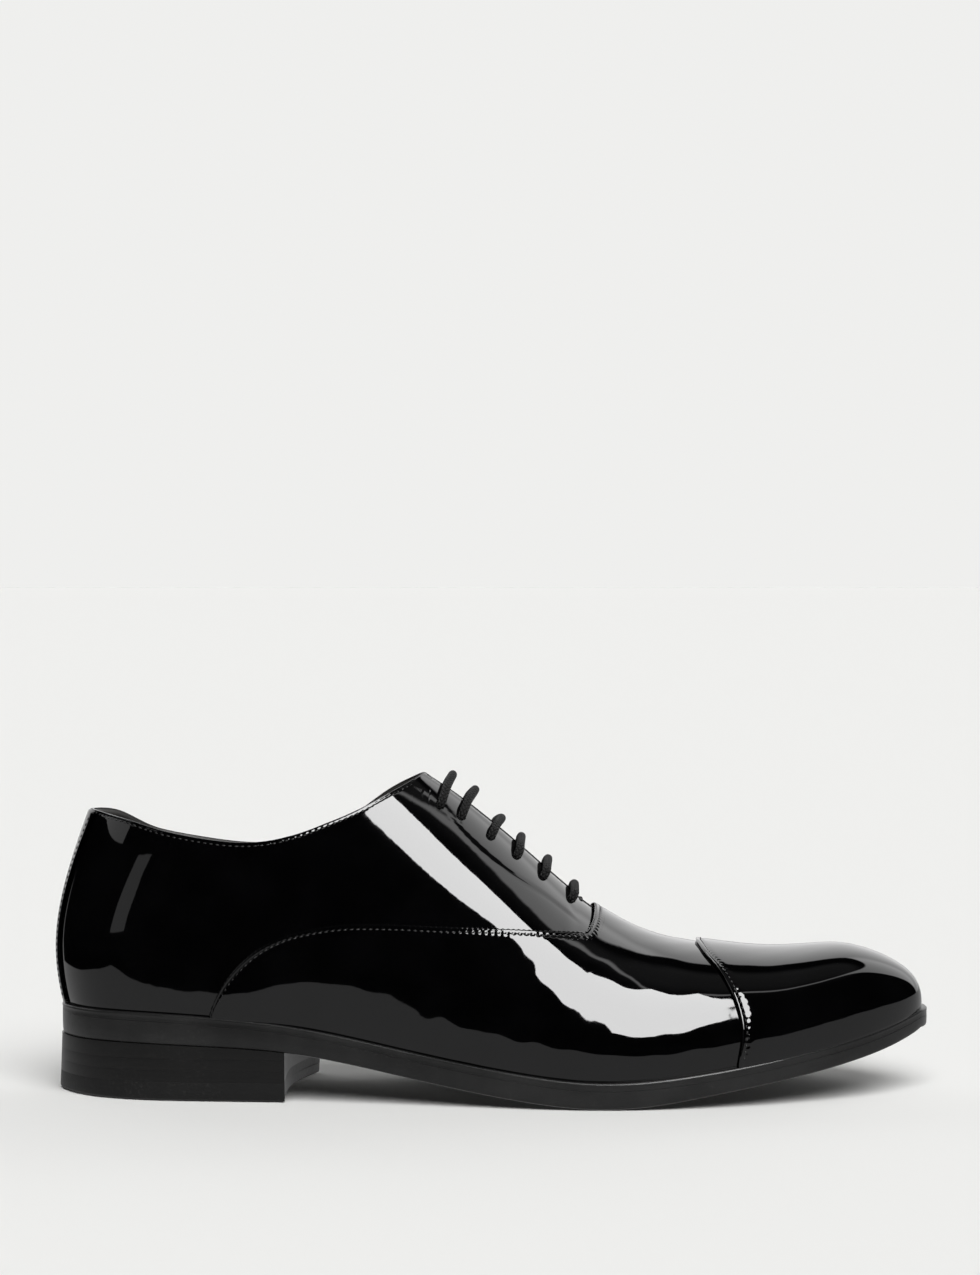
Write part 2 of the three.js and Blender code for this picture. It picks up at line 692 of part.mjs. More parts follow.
// One cord through all twelve eyelets: six straight bars outside, runs along the inside.
function laceRoute() {
  const inside = liningInner - 0.85 - laceBend;
  const path = [];
  const lay = (v, s, h) => path.push(raised(v, s, h));
  const spot = (k, side) => [eyelets[k - 1][0], side * eyelets[k - 1][1]];
  const bend = laceBend;
  const bar = (k, from) => {
    const [v, s] = spot(k, from);
    const towards = (reach) => {
      const span = spanOfReach(v, eyeletReach - reach);
      return from * span;
    };
    lay(v, s, 0.2);
    lay(v, towards(bend * 0.3), 0.2 + bend * 0.7);
    for (const share of [0.12, 0.4, 1, 1.6, 1.88]) {
      const reach = eyeletReach * share;
      const bow = Math.sin((Math.PI * share) / 2) ** 1.5;
      const forward = (barLean[k - 1] * bow) / 20;
      const span = Math.sign(1 - share) * spanOfReach(v + forward, Math.abs(eyeletReach - reach));
      lay(v + forward, from * span, 0.2 + bend + barRise[k - 1] * bow);
    }
    lay(v, -towards(bend * 0.3), 0.2 + bend * 0.7);
    lay(v, -s, 0.2);
  };
  const runUnder = (k, to, side, aside) => {
    const [v0, s0] = spot(k, side);
    const [v1, s1] = spot(to, side);
    const step = Math.sign(v1 - v0) * 0.08;
    lay(v0, s0, inside + bend);
    lay(v0 + step * 0.3, s0, inside + bend * 0.3);
    lay(v0 + step, s0, inside);
    const shift = side * spanOfReach(v0, aside);
    const span = Math.abs(v1 - v0);
    if (aside > 0) {
      lay(v0 + Math.sign(v1 - v0) * span * 0.2, s0 + shift, inside);
      lay(v1 - Math.sign(v1 - v0) * span * 0.2, s1 + shift, inside);
    }
    lay(v1 - step, s1, inside);
    lay(v1 - step * 0.3, s1, inside + bend * 0.3);
    lay(v1, s1, inside + bend);
  };
  const tail = (k, side) => {
    const [v0, s0] = spot(k, side);
    const down = (reach, h) => raised(v0, s0 + side * spanOfReach(v0, reach), h);
    return [down(0, inside + bend), down(bend * 0.3, inside + bend * 0.3), down(bend, inside),
      down(8, inside), down(14, inside - 1), down(20, inside - 4)];
  };
  path.push(...tail(5, -1).reverse());
  bar(5, -1);
  runUnder(5, 3, 1, 0);
  bar(3, 1);
  runUnder(3, 1, -1, 3.2);
  bar(1, -1);
  runUnder(1, 2, 1, 0);
  bar(2, 1);
  runUnder(2, 4, -1, 0);
  bar(4, -1);
  runUnder(4, 6, 1, 3.2);
  bar(6, 1);
  path.push(...tail(6, -1));
  return path;
}

function tube(path, radius, sides) {
  const points = [];
  const faces = [];
  let frameUp = null;
  path.forEach((p, i) => {
    const before = path[Math.max(i - 1, 0)];
    const after = path[Math.min(i + 1, path.length - 1)];
    const toHere = p.clone().sub(before).normalize();
    const onward = after.clone().sub(p).normalize();
    const ahead = toHere.add(onward).normalize();
    if (!frameUp) frameUp = new THREE.Vector3(0.3, 0.2, 1);
    frameUp.addScaledVector(ahead, -frameUp.dot(ahead)).normalize();
    const sideways = new THREE.Vector3().crossVectors(ahead, frameUp);
    for (let j = 0; j < sides; j += 1) {
      const angle = (2 * Math.PI * j) / sides;
      points.push(p.clone().addScaledVector(frameUp, radius * Math.cos(angle))
        .addScaledVector(sideways, radius * Math.sin(angle)).toArray());
    }
  });
  for (let i = 0; i < path.length - 1; i += 1) {
    for (let j = 0; j < sides; j += 1) {
      const a = i * sides + j;
      const b = i * sides + ((j + 1) % sides);
      faces.push([a, b, a + sides], [b, b + sides, a + sides]);
    }
  }
  for (let j = 1; j < sides - 1; j += 1) {
    faces.push([0, j + 1, j]);
    const base = (path.length - 1) * sides;
    faces.push([base, base + j, base + j + 1]);
  }
  return bodyFrom(points, faces);
}

const route = laceRoute();
add('lace', tube(route, laceRadius, 8), cordLook);

function tip(end, before) {
  const ahead = end.clone().sub(before).normalize();
  return tube([end.clone().addScaledVector(ahead, 0.3),
    end.clone().addScaledVector(ahead, tipLength)], tipRadius, 8);
}
add('lace_tip_1', tip(route[0], route[1]), cordLook);
add('lace_tip_2', tip(route.at(-1), route.at(-2)), cordLook);

// Origin under the middle of the whole box, on the floor.
const whole = new THREE.Box3().setFromObject(shoe);
const middle = whole.getCenter(new THREE.Vector3());
for (const mesh of shoe.children) {
  mesh.geometry.translate(-middle.x, -middle.y, -whole.min.z);
}

export default shoe;
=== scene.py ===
import math
import bpy
import bmesh
import numpy as np
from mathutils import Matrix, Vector


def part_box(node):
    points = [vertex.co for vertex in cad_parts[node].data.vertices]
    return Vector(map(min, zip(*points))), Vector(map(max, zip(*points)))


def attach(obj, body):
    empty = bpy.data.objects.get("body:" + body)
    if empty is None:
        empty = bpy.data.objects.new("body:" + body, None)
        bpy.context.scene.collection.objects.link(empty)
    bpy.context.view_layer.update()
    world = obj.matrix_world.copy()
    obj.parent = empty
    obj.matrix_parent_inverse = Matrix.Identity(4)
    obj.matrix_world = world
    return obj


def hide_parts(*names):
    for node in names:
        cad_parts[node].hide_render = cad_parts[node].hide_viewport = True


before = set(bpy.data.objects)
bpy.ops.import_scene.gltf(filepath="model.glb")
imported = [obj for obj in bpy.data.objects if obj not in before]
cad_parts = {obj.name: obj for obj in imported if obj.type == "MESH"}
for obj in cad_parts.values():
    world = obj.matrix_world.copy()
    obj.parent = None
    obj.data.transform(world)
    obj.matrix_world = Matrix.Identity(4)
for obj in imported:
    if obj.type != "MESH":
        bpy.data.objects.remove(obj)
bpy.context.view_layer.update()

mm = 0.001
scene = bpy.context.scene


# camera at a low side view, set before anything else
cameraSet = {"place": (-0.0007, -1.1, 0.187), "tilt": 1.43, "lens": 87.5, "sensor": 36.0}


def makeCamera(c):
    bpy.ops.object.camera_add(location=c["place"], rotation=(math.radians(90 - c["tilt"]), 0, 0))
    cam = bpy.context.object
    cam.name = "side_camera"
    cam.data.lens = c["lens"]
    cam.data.sensor_width = c["sensor"]
    cam.data.sensor_fit = "AUTO"
    cam.data.clip_start = 0.01
    cam.data.clip_end = 60
    scene.camera = cam


makeCamera(cameraSet)
print("camera ready")

# the last: one value per station from heel to toe, in millimetres
lastShape = {
    "x": [-151.9, -146.9, -139.1, -127, -111, -92, -71, -49, -27, -6, 14,
          33, 51, 68, 84, 99, 113, 126, 137.2, 146, 151.4, 152.9],
    "half": [0, 12.5, 22.6, 29.2, 32.4, 33.5, 33.6, 33.7, 34.9, 38.2, 43.1,
             47.2, 49.4, 49.2, 46.9, 43.1, 38, 31.6, 24.4, 16.6, 8.6, 0],
    "lean": [0, 0, 0, -0.1, -0.3, -0.9, -2.6, -5.4, -7.9, -9, -8,
             -6, -3.9, -2.3, -1.1, -0.4, 0, 0, 0, 0, 0, 0],
    "ridgeY": [0, 0, 0, 0, 0, 0.3, 0.6, 1, 1.5, 2, 2.5,
               3, 3.3, 3.5, 3.5, 3.4, 3.3, 3.2, 3.1, 3, 3, 3],
    "seat": [30.3, 30.4, 30.6, 30.6, 30.1, 28.9, 26.9, 22.9, 18.1, 14.1, 10.9,
             8.7, 9.1, 11, 13.2, 15.6, 18.1, 20.7, 23.4, 26, 27.8, 28.4],
    "tread": [19.6, 19.7, 19.9, 19.9, 19.4, 18.7, 17.5, 13.8, 9, 4.9, 1.7,
              -0.4, 0.1, 2.8, 5.5, 8, 10.5, 13.2, 16, 18.8, 21, 22],
    "height": [77, 78, 80, 83, 86.5, 90, 95.5, 100, 95.6, 85, 71,
               56, 44.6, 39.5, 34.9, 30.9, 29.1, 28, 22.2, 15.3, 8.5, 0],
    "square": [0.04, 0.04, 0.04, 0.04, 0.035, 0.02, 0, -0.01, -0.01, -0.01, 0,
               0.01, 0.02, 0.03, 0.035, 0.04, 0.045, 0.05, 0.05, 0.05, 0.05, 0.05],
    "tuck": [13, 13, 13, 13, 13, 12, 11, 10, 9, 9, 10,
             11, 11, 11, 10, 9, 9, 9, 9, 9, 9, 9],
}
toeEnd = 21
oddAtEnds = {"half": (-1, -1), "height": (1, -1)}
rows = {}
for part, values in lastShape.items():
    atHeel, atToe = oddAtEnds.get(part, (1, 1))
    rows[part] = np.array([atHeel * values[1]] + values + [atToe * values[toeEnd - 1]], float)


def run(part, v):
    v = np.asarray(v, float)
    base = np.clip(np.floor(v).astype(int), 0, toeEnd - 1)
    f = v - base
    g = 1 - f
    c = rows[part]
    return (g**3 * c[base] + (3 * f**3 - 6 * f**2 + 4) * c[base + 1]
            + (3 * g**3 - 6 * g**2 + 4) * c[base + 2] + f**3 * c[base + 3]) / 6


def smooth(f):
    c = np.clip(f, 0, 1)
    return c**3 * (c * (6 * c - 15) + 10)


stationList = np.linspace(0, toeEnd, 4001)
stationX = run("x", stationList)


def stationAt(x):
    return np.interp(x, stationX, stationList)


def along(points, x):
    p = np.array(points, float)
    slope = np.gradient(p[:, 1], p[:, 0])
    slope[1:-1] = (p[2:, 1] - p[:-2, 1]) / (p[2:, 0] - p[:-2, 0])
    x = np.clip(np.asarray(x, float), p[0, 0], p[-1, 0])
    k = np.clip(np.searchsorted(p[:, 0], x, side="right") - 1, 0, len(p) - 2)
    w = p[k + 1, 0] - p[k, 0]
    f = (x - p[k, 0]) / w
    return ((2 * f**3 - 3 * f**2 + 1) * p[k, 1] + (f**3 - 2 * f**2 + f) * w * slope[k]
            + (3 * f**2 - 2 * f**3) * p[k + 1, 1] + (f**3 - f**2) * w * slope[k + 1])


def section(v):
    q = run("square", v)
    widest = math.pi / 2 + np.radians(run("tuck", v))
    k = (np.cos(widest) - q * np.cos(3 * widest)) / (1 - q)
    rise = run("height", v)
    reach = rise / (1 - k)
    return q, widest, reach, run("seat", v) + 0.7 + rise - reach


def heelLean(z):
    r = (z - 50) / 49
    return 21.2 * (np.sqrt(r * r + 0.36) - 0.6) - 3.1


def skin(v, s):
    v = np.asarray(v, float)
    s = np.where(v < 0, -1, 1) * np.asarray(s, float)
    v = np.abs(v)
    q, widest, reach, waist = section(v)
    turn = s * widest
    side = (np.sin(turn) + q * np.sin(3 * turn)) / (1 - q)
    up = (np.cos(turn) - q * np.cos(3 * turn)) / (1 - q)
    z = waist + reach * up
    x = run("x", v) + heelLean(z) * (1 - smooth(v / 6.5))
    y = run("ridgeY", v) + run("half", v) * side + run("lean", v) * side * side
    return np.stack([x, y, z], -1)


def outward(v, s):
    v = np.asarray(v, float)
    s = np.where(v < 0, -1, 1) * np.asarray(s, float)
    v = np.abs(v)
    e = 0.01
    vv = np.clip(v, e, toeEnd - e)
    ss = np.clip(s, -1 + e, 1 - e)
    n = np.cross(skin(vv + e, ss) - skin(vv - e, ss), skin(vv, ss + e) - skin(vv, ss - e))
    n[..., 2] *= smooth((1 - np.abs(s)) / 0.12)
    n[..., 1] = np.where(v < 0.02, 0, n[..., 1])
    n /= np.maximum(np.linalg.norm(n, axis=-1, keepdims=True), 1e-9)
    atPole = (v > toeEnd - 0.02)[..., None]
    return np.where(atPole, np.array([1.0, 0, 0]), n)


def raised(v, s, offset):
    return skin(v, s) + outward(v, s) * np.asarray(offset, float)[..., None]


def spanAtHeight(v, z):
    v, z = np.broadcast_arrays(np.asarray(v, float), np.asarray(z, float))
    q, widest, reach, waist = section(np.abs(v))
    low = np.zeros(v.shape)
    high = np.ones(v.shape)
    for _ in range(30):
        mid = (low + high) / 2
        turn = mid * widest
        above = waist + reach * (np.cos(turn) - q * np.cos(3 * turn)) / (1 - q) > z
        low = np.where(above, mid, low)
        high = np.where(above, high, mid)
    return (low + high) / 2


def spanOfReach(v, reach):
    q, widest, _, _ = section(v)
    return np.arcsin(np.minimum(reach / run("half", v), 0.98)) / widest / (1 + 2 * q)


# edges of the panels, drawn on the last
panelEdges = {
    "toeCap": [[0, 73.2], [0.2, 74.9], [0.42, 80], [0.6, 83.6], [0.8, 85.9], [1, 84.6]],
    "topline": [[-152, 99.2], [-141, 99], [-127, 96.9], [-111, 92.8], [-92, 89.7], [-80, 89.6],
                [-68, 92], [-57, 95.9], [-46, 100.4], [-35, 106], [-26, 110.4], [-19, 113]],
    "seam": [[-97, 29], [-94.6, 35.5], [-90, 43.2], [-82, 51.3], [-72.7, 56.6], [-62, 59.6],
             [-49.6, 61.3], [-33.7, 61.4], [-17.9, 60.7], [-2, 60.1], [9.5, 59.5], [18, 58.8],
             [25, 58.2], [31, 57.6]],
    "lap": [[-90.5, 28], [-88.4, 33], [-84.5, 39.2], [-78.5, 45.7], [-70.5, 50.6], [-61, 53.6],
            [-49.3, 55.3], [-33.7, 55.4], [-18, 54.7], [-2, 54.1], [10, 53.4], [20, 52.7],
            [28, 51.9], [33, 51.4]],
    "seamStart": -97, "seamEnd": 31, "seamRound": 6,
    "lapEnd": 33, "lapRound": 10,
    "cornerX": -27.0, "cornerRound": 5.5,
    "facingGap": 3.0,
    "innerDrop": 5.0,
    "eyeletReach": 13.6,
    "eyeletX": [28.6, 18.6, 9.3, 0.2, -10.2, -17.4],
    "holeRadius": 1.75,
}


def roundedEnd(v, points, end, length):
    x = run("x", v)
    body = spanAtHeight(v, along(points, x))
    start = spanAtHeight(stationAt(end), points[-1][1])
    nose = start * np.sqrt(np.clip(1 - ((x - end) / length) ** 2, 0, 1))
    return np.where(x <= points[0][0], 1, np.where(x < end, body, nose))


def seamSpan(v):
    return roundedEnd(v, panelEdges["seam"], panelEdges["seamEnd"], panelEdges["seamRound"])


def quarterTurn(start, length, count):
    return start + length * np.sin(np.linspace(0, math.pi / 2, count))


def seamX(fromX, count, roundCount):
    end = panelEdges["seamEnd"]
    return np.concatenate([np.linspace(fromX, end, count),
                           quarterTurn(end, panelEdges["seamRound"], roundCount)])


def lapSpan(v):
    return roundedEnd(v, panelEdges["lap"], panelEdges["lapEnd"], panelEdges["lapRound"])


# the foot opening is lower along the inner side, where the ankle bone sits
def topSpan(v, inner=False):
    v = np.abs(np.asarray(v, float))
    x = run("x", v)
    edge = spanOfReach(np.maximum(v, 0.3), panelEdges["facingGap"])
    lean = heelLean(99) * (1 - smooth(v / 6.5))
    low = panelEdges["innerDrop"] * smooth((x + 150) / 30) * (1 - smooth((x + 62) / 34))
    line = spanAtHeight(v, along(panelEdges["topline"], x + lean) - np.where(inner, low, 0))
    start, length = panelEdges["cornerX"], panelEdges["cornerRound"]
    corner = edge + (line - edge) * np.sqrt(np.clip(1 - ((x - start) / length) ** 2, 0, 1))
    return np.where(x >= start + length, edge, np.where(x < start, line, corner))


def capStation(s):
    return stationAt(along(panelEdges["toeCap"], np.abs(s)))


def rim(v, side, inset):
    e = 0.01
    v = np.asarray(v, float)
    mid = np.clip(v, e, toeEnd - e)
    ahead = skin(mid + e, side) - skin(mid - e, side)
    ahead = ahead[..., :2] / np.maximum(np.linalg.norm(ahead[..., :2], axis=-1, keepdims=True), 1e-9)
    out = np.stack([-ahead[..., 1] * side, ahead[..., 0] * side], -1)
    out = np.where((v < e)[..., None], np.array([-1.0, 0]), out)
    out = np.where((v > toeEnd - e)[..., None], np.array([1.0, 0]), out)
    inset = np.asarray(inset, float)
    shift = np.where(inset < 0, inset - 2 * smooth((v - 18.6) / 2.4), inset)
    return skin(v, side)[..., :2] - out * shift[..., None]


# the model stands with the middle of its box over the origin
soleRim = np.concatenate([rim(np.linspace(0, toeEnd, 27), side, -1.3) for side in (-1, 1)])
soleLow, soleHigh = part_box("outsole")
middle = np.array([run("x", toeEnd) + 1.4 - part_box("toe_cap")[1].x / mm,
                   (soleRim[:, 1].min() + soleRim[:, 1].max() - (soleLow.y + soleHigh.y) / mm) / 2,
                   0.0])


def placed(points):
    return (np.asarray(points, float) - middle) * mm


# ---- materials ----
def node(tree, kind, **settings):
    made = tree.nodes.new(kind)
    for key, value in settings.items():
        setattr(made, key, value)
    return made


def newGroup(name, inputs, outputs):
    group = bpy.data.node_groups.new(name, "ShaderNodeTree")
    for label, kind, value in inputs:
        socket = group.interface.new_socket(label, in_out="INPUT", socket_type=kind)
        if value is not None:
            socket.default_value = value
    for label, kind in outputs:
        group.interface.new_socket(label, in_out="OUTPUT", socket_type=kind)
    return group, node(group, "NodeGroupInput"), node(group, "NodeGroupOutput")


def mathNode(tree, operation, a, b=None, c=None):
    made = node(tree, "ShaderNodeMath", operation=operation)
    for index, value in enumerate((a, b, c)):
        if value is None:
            continue
        if isinstance(value, (int, float)):
            made.inputs[index].default_value = value
        else:
            tree.links.new(value, made.inputs[index])
    return made.outputs[0]


def ramp(tree, value, low, high):
    made = node(tree, "ShaderNodeMapRange", interpolation_type="SMOOTHSTEP")
    tree.links.new(value, made.inputs["Value"])
    made.inputs["From Min"].default_value = low
    made.inputs["From Max"].default_value = high
    return made.outputs["Result"]


def mixColour(tree, mask, low, high):
    made = node(tree, "ShaderNodeMix", data_type="RGBA")
    tree.links.new(mask, made.inputs["Factor"])
    for socket, value in ((made.inputs[6], low), (made.inputs[7], high)):
        if isinstance(value, tuple):
            socket.default_value = value
        else:
            tree.links.new(value, socket)
    return made.outputs[2]


def noiseAt(tree, vector, scale, detail=2.0, rough=0.5):
    made = node(tree, "ShaderNodeTexNoise")
    tree.links.new(vector, made.inputs["Vector"])
    made.inputs["Detail"].default_value = detail
    made.inputs["Roughness"].default_value = rough
    if isinstance(scale, (int, float)):
        made.inputs["Scale"].default_value = scale
    else:
        tree.links.new(scale, made.inputs["Scale"])
    return made.outputs["Fac"]


def makeSurfaceDust():
    group, gi, go = newGroup("surfaceDust", [
        ("Vector", "NodeSocketVector", None), ("Colour", "NodeSocketColor", (0.01, 0.01, 0.01, 1)),
        ("Dust Colour", "NodeSocketColor", (0.2, 0.19, 0.18, 1)), ("Amount", "NodeSocketFloat", 0.1),
        ("Roughness", "NodeSocketFloat", 0.3), ("Spread", "NodeSocketFloat", 0.1)],
        [("Colour", "NodeSocketColor"), ("Roughness", "NodeSocketFloat"), ("Mask", "NodeSocketFloat")])
    wide = noiseAt(group, gi.outputs["Vector"], 38.0, 3.0)
    fine = noiseAt(group, gi.outputs["Vector"], 900.0, 2.0, 0.7)
    patch = mathNode(group, "MULTIPLY", ramp(group, wide, 0.42, 0.72), ramp(group, fine, 0.5, 0.78))
    mask = mathNode(group, "MULTIPLY", patch, gi.outputs["Amount"])
    group.links.new(mixColour(group, mask, gi.outputs["Colour"], gi.outputs["Dust Colour"]),
                    go.inputs["Colour"])
    uneven = mathNode(group, "MULTIPLY", mathNode(group, "SUBTRACT", wide, 0.5), gi.outputs["Spread"])
    rough = mathNode(group, "ADD", gi.outputs["Roughness"], uneven)
    group.links.new(mathNode(group, "ADD", rough, mathNode(group, "MULTIPLY", mask, 0.5)),
                    go.inputs["Roughness"])
    group.links.new(mask, go.inputs["Mask"])
    return group


def makeHideGrain():
    group, gi, go = newGroup("hideGrain", [
        ("Vector", "NodeSocketVector", None), ("Pore Scale", "NodeSocketFloat", 1400.0),
        ("Swell Scale", "NodeSocketFloat", 90.0), ("Swell", "NodeSocketFloat", 0.5),
        ("Crease", "NodeSocketFloat", 0.3)], [("Height", "NodeSocketFloat")])
    pores = node(group, "ShaderNodeTexVoronoi", feature="SMOOTH_F1")
    group.links.new(gi.outputs["Vector"], pores.inputs["Vector"])
    group.links.new(gi.outputs["Pore Scale"], pores.inputs["Scale"])
    swell = noiseAt(group, gi.outputs["Vector"], gi.outputs["Swell Scale"], 2.0)
    creaseScale = mathNode(group, "MULTIPLY", gi.outputs["Swell Scale"], 4.0)
    crease = noiseAt(group, gi.outputs["Vector"], creaseScale, 4.0, 0.6)
    height = mathNode(group, "MULTIPLY", swell, gi.outputs["Swell"])
    height = mathNode(group, "ADD", height, mathNode(group, "MULTIPLY", crease, gi.outputs["Crease"]))
    group.links.new(mathNode(group, "MULTIPLY_ADD", pores.outputs["Distance"], 0.06, height),
                    go.inputs["Height"])
    return group


def makeBraidBumpAndGrooveShade():
    group, gi, go = newGroup("cordBraid", [
        ("Vector", "NodeSocketVector", None), ("Around", "NodeSocketFloat", 8.0),
        ("Along", "NodeSocketFloat", 300.0)],
        [("Height", "NodeSocketFloat"), ("Mask", "NodeSocketFloat")])
    parts = node(group, "ShaderNodeSeparateXYZ")
    group.links.new(gi.outputs["Vector"], parts.inputs[0])
    lengthwise = mathNode(group, "MULTIPLY", parts.outputs["X"], gi.outputs["Along"])
    round_ = mathNode(group, "MULTIPLY", parts.outputs["Y"], gi.outputs["Around"])
    heights = []
    for sign in (1, -1):
        phase = mathNode(group, "MULTIPLY_ADD", round_, float(sign), lengthwise)
        heights.append(mathNode(group, "ABSOLUTE",
                                mathNode(group, "SINE", mathNode(group, "MULTIPLY", phase, math.pi))))
    height = mathNode(group, "MINIMUM", heights[0], heights[1])
    group.links.new(height, go.inputs["Height"])
    # the mask is low in the grooves between strands, where the lace takes its darker gap colour:
    # painted shade
    group.links.new(ramp(group, height, 0.0, 0.5), go.inputs["Mask"])
    return group


surfaceDust = makeSurfaceDust()
hideGrain = makeHideGrain()
cordBraid = makeBraidBumpAndGrooveShade()


def finishMaterial(name, look):
    made = bpy.data.materials.new(name)
    made.use_nodes = True
    tree = made.node_tree
    shader = tree.nodes["Principled BSDF"]
    where = node(tree, "ShaderNodeTexCoord")
    dust = node(tree, "ShaderNodeGroup", node_tree=surfaceDust)
    tree.links.new(where.outputs["Object"], dust.inputs["Vector"])
    dust.inputs["Dust Colour"].default_value = (*look.get("dustColour", (0.2, 0.19, 0.18)), 1)
    dust.inputs["Amount"].default_value = look.get("dust", 0.05)
    dust.inputs["Roughness"].default_value = look["roughness"]
    dust.inputs["Spread"].default_value = look.get("spread", 0.05)
    shade = noiseAt(tree, where.outputs["Object"], look.get("toneScale", 60.0), 3.0)
    tone = mixColour(tree, ramp(tree, shade, 0.35, 0.68), (*look["dark"], 1), (*look["light"], 1))
    height = None
    if "braid" in look:
        braid = node(tree, "ShaderNodeGroup", node_tree=cordBraid)
        tree.links.new(where.outputs["UV"], braid.inputs["Vector"])
        braid.inputs["Around"].default_value = look["braid"][0]
        braid.inputs["Along"].default_value = look["braid"][1]
        # painted shade: the grooves between the braid strands get the darker gap colour
        tone = mixColour(tree, braid.outputs["Mask"], (*look["gap"], 1), tone)
        height = braid.outputs["Height"]
    elif "layers" in look:
        heights = node(tree, "ShaderNodeSeparateXYZ")
        tree.links.new(where.outputs["Object"], heights.inputs[0])
        stripe = mathNode(tree, "MULTIPLY", heights.outputs["Z"], look["layers"])
        wobble = mathNode(tree, "MULTIPLY", shade, 1.2)
        band = noiseAt(tree, lineVector(tree, mathNode(tree, "ADD", stripe, wobble)), 1.0, 3.0)
        tone = mixColour(tree, ramp(tree, band, 0.4, 0.7), tone, (*look["streak"], 1))
        height = band
    if height is None:
        grain = node(tree, "ShaderNodeGroup", node_tree=hideGrain)
        tree.links.new(where.outputs["Object"], grain.inputs["Vector"])
        grain.inputs["Pore Scale"].default_value = look.get("pores", 1400.0)
        grain.inputs["Swell Scale"].default_value = look.get("swellScale", 90.0)
        grain.inputs["Swell"].default_value = look.get("swell", 0.5)
        grain.inputs["Crease"].default_value = look.get("crease", 0.3)
        height = grain.outputs["Height"]
    tree.links.new(tone, dust.inputs["Colour"])
    tree.links.new(dust.outputs["Colour"], shader.inputs["Base Color"])
    tree.links.new(dust.outputs["Roughness"], shader.inputs["Roughness"])
    bump = node(tree, "ShaderNodeBump")
    bump.inputs["Strength"].default_value = 1.0
    bump.inputs["Distance"].default_value = look["bump"] * mm
    tree.links.new(height, bump.inputs["Height"])
    tree.links.new(bump.outputs["Normal"], shader.inputs["Normal"])
    shader.inputs["Metallic"].default_value = look.get("metallic", 0.0)
    shader.inputs["IOR"].default_value = look.get("ior", 1.5)
    return made


def lineVector(tree, value):
    made = node(tree, "ShaderNodeCombineXYZ")
    tree.links.new(value, made.inputs["X"])
    return made.outputs[0]


finishes = {
    "patentLeather": {"dark": (0.0006, 0.0006, 0.0007), "light": (0.0012, 0.0012, 0.0014),
                      "roughness": 0.035, "spread": 0.02, "dust": 0.004, "bump": 0.05,
                      "swellScale": 55.0, "swell": 0.8, "crease": 0.03, "pores": 500.0},
    "liningLeather": {"dark": (0.012, 0.011, 0.010), "light": (0.022, 0.020, 0.018),
                      "roughness": 0.5, "spread": 0.15, "dust": 0.2, "bump": 0.12,
                      "swellScale": 140.0, "swell": 0.3, "crease": 0.5, "pores": 1500.0},
    "sockLeather": {"dark": (0.016, 0.015, 0.014), "light": (0.03, 0.027, 0.024),
                    "roughness": 0.45, "spread": 0.2, "dust": 0.25, "bump": 0.12,
                    "swellScale": 120.0, "swell": 0.3, "crease": 0.5, "pores": 1500.0},
    "soleEdge": {"dark": (0.008, 0.008, 0.008), "light": (0.014, 0.014, 0.014), "roughness": 0.3,
                 "ior": 1.4, "spread": 0.12, "dust": 0.06, "bump": 0.08, "swellScale": 160.0,
                 "swell": 0.4, "crease": 0.4, "pores": 1800.0},
    "heelStack": {"dark": (0.002, 0.002, 0.002), "light": (0.004, 0.004, 0.004),
                  "roughness": 0.36, "spread": 0.12, "dust": 0.04, "bump": 0.02, "ior": 1.36,
                  "layers": 700.0, "streak": (0.004, 0.0038, 0.0036)},
    "topPiece": {"dark": (0.003, 0.003, 0.003), "light": (0.005, 0.005, 0.005),
                 "roughness": 0.5, "ior": 1.36, "spread": 0.1, "dust": 0.08, "bump": 0.15,
                 "swellScale": 200.0, "swell": 0.2, "crease": 0.6, "pores": 1500.0},
    "stitchThread": {"dark": (0.002, 0.002, 0.002), "light": (0.005, 0.005, 0.005),
                     "roughness": 0.55, "spread": 0.1, "dust": 0.05, "bump": 0.05,
                     "swellScale": 900.0, "swell": 0.4, "crease": 0.5, "pores": 5000.0},
    # the lace's gap colour is painted shade in the grooves between its braid strands
    "laceCord": {"dark": (0.002, 0.002, 0.002), "light": (0.005, 0.005, 0.005),
                 "roughness": 0.72, "ior": 1.38, "spread": 0.1, "dust": 0.03, "bump": 0.7,
                 "braid": (6.0, 300.0), "gap": (0.001, 0.001, 0.001)},
    "laceTip": {"dark": (0.006, 0.006, 0.006), "light": (0.01, 0.01, 0.01), "roughness": 0.15,
                "spread": 0.05, "dust": 0.03, "bump": 0.02},
    "blackenedMetal": {"dark": (0.03, 0.03, 0.032), "light": (0.06, 0.06, 0.062),
                       "roughness": 0.3, "spread": 0.1, "dust": 0.1, "bump": 0.02,
                       "metallic": 1.0},
    "steelBar": {"dark": (0.35, 0.36, 0.37), "light": (0.5, 0.51, 0.52), "roughness": 0.35,
                 "spread": 0.1, "dust": 0.1, "bump": 0.03, "metallic": 1.0},
    "insoleBoard": {"dark": (0.25, 0.17, 0.10), "light": (0.34, 0.24, 0.15), "roughness": 0.8,
                    "dust": 0.2, "bump": 0.1},
    "corkMix": {"dark": (0.24, 0.13, 0.06), "light": (0.42, 0.25, 0.13), "roughness": 0.9,
                "toneScale": 700.0, "dust": 0.1, "bump": 0.3},
    "stiffenerSheet": {"dark": (0.42, 0.36, 0.27), "light": (0.52, 0.45, 0.35),
                       "roughness": 0.8, "dust": 0.1, "bump": 0.1},
}
materials = {name: finishMaterial(name, look) for name, look in finishes.items()}
print("materials ready")


# pieces start as grids that are laid over the last, then get their wall and edges
stitchPitch = 2.2
edgeSteps = np.array([0, 0.12, 0.3, 0.6, 0.9, 1.2, 1.5, 1.8, 2.2, 2.8, 3.6])


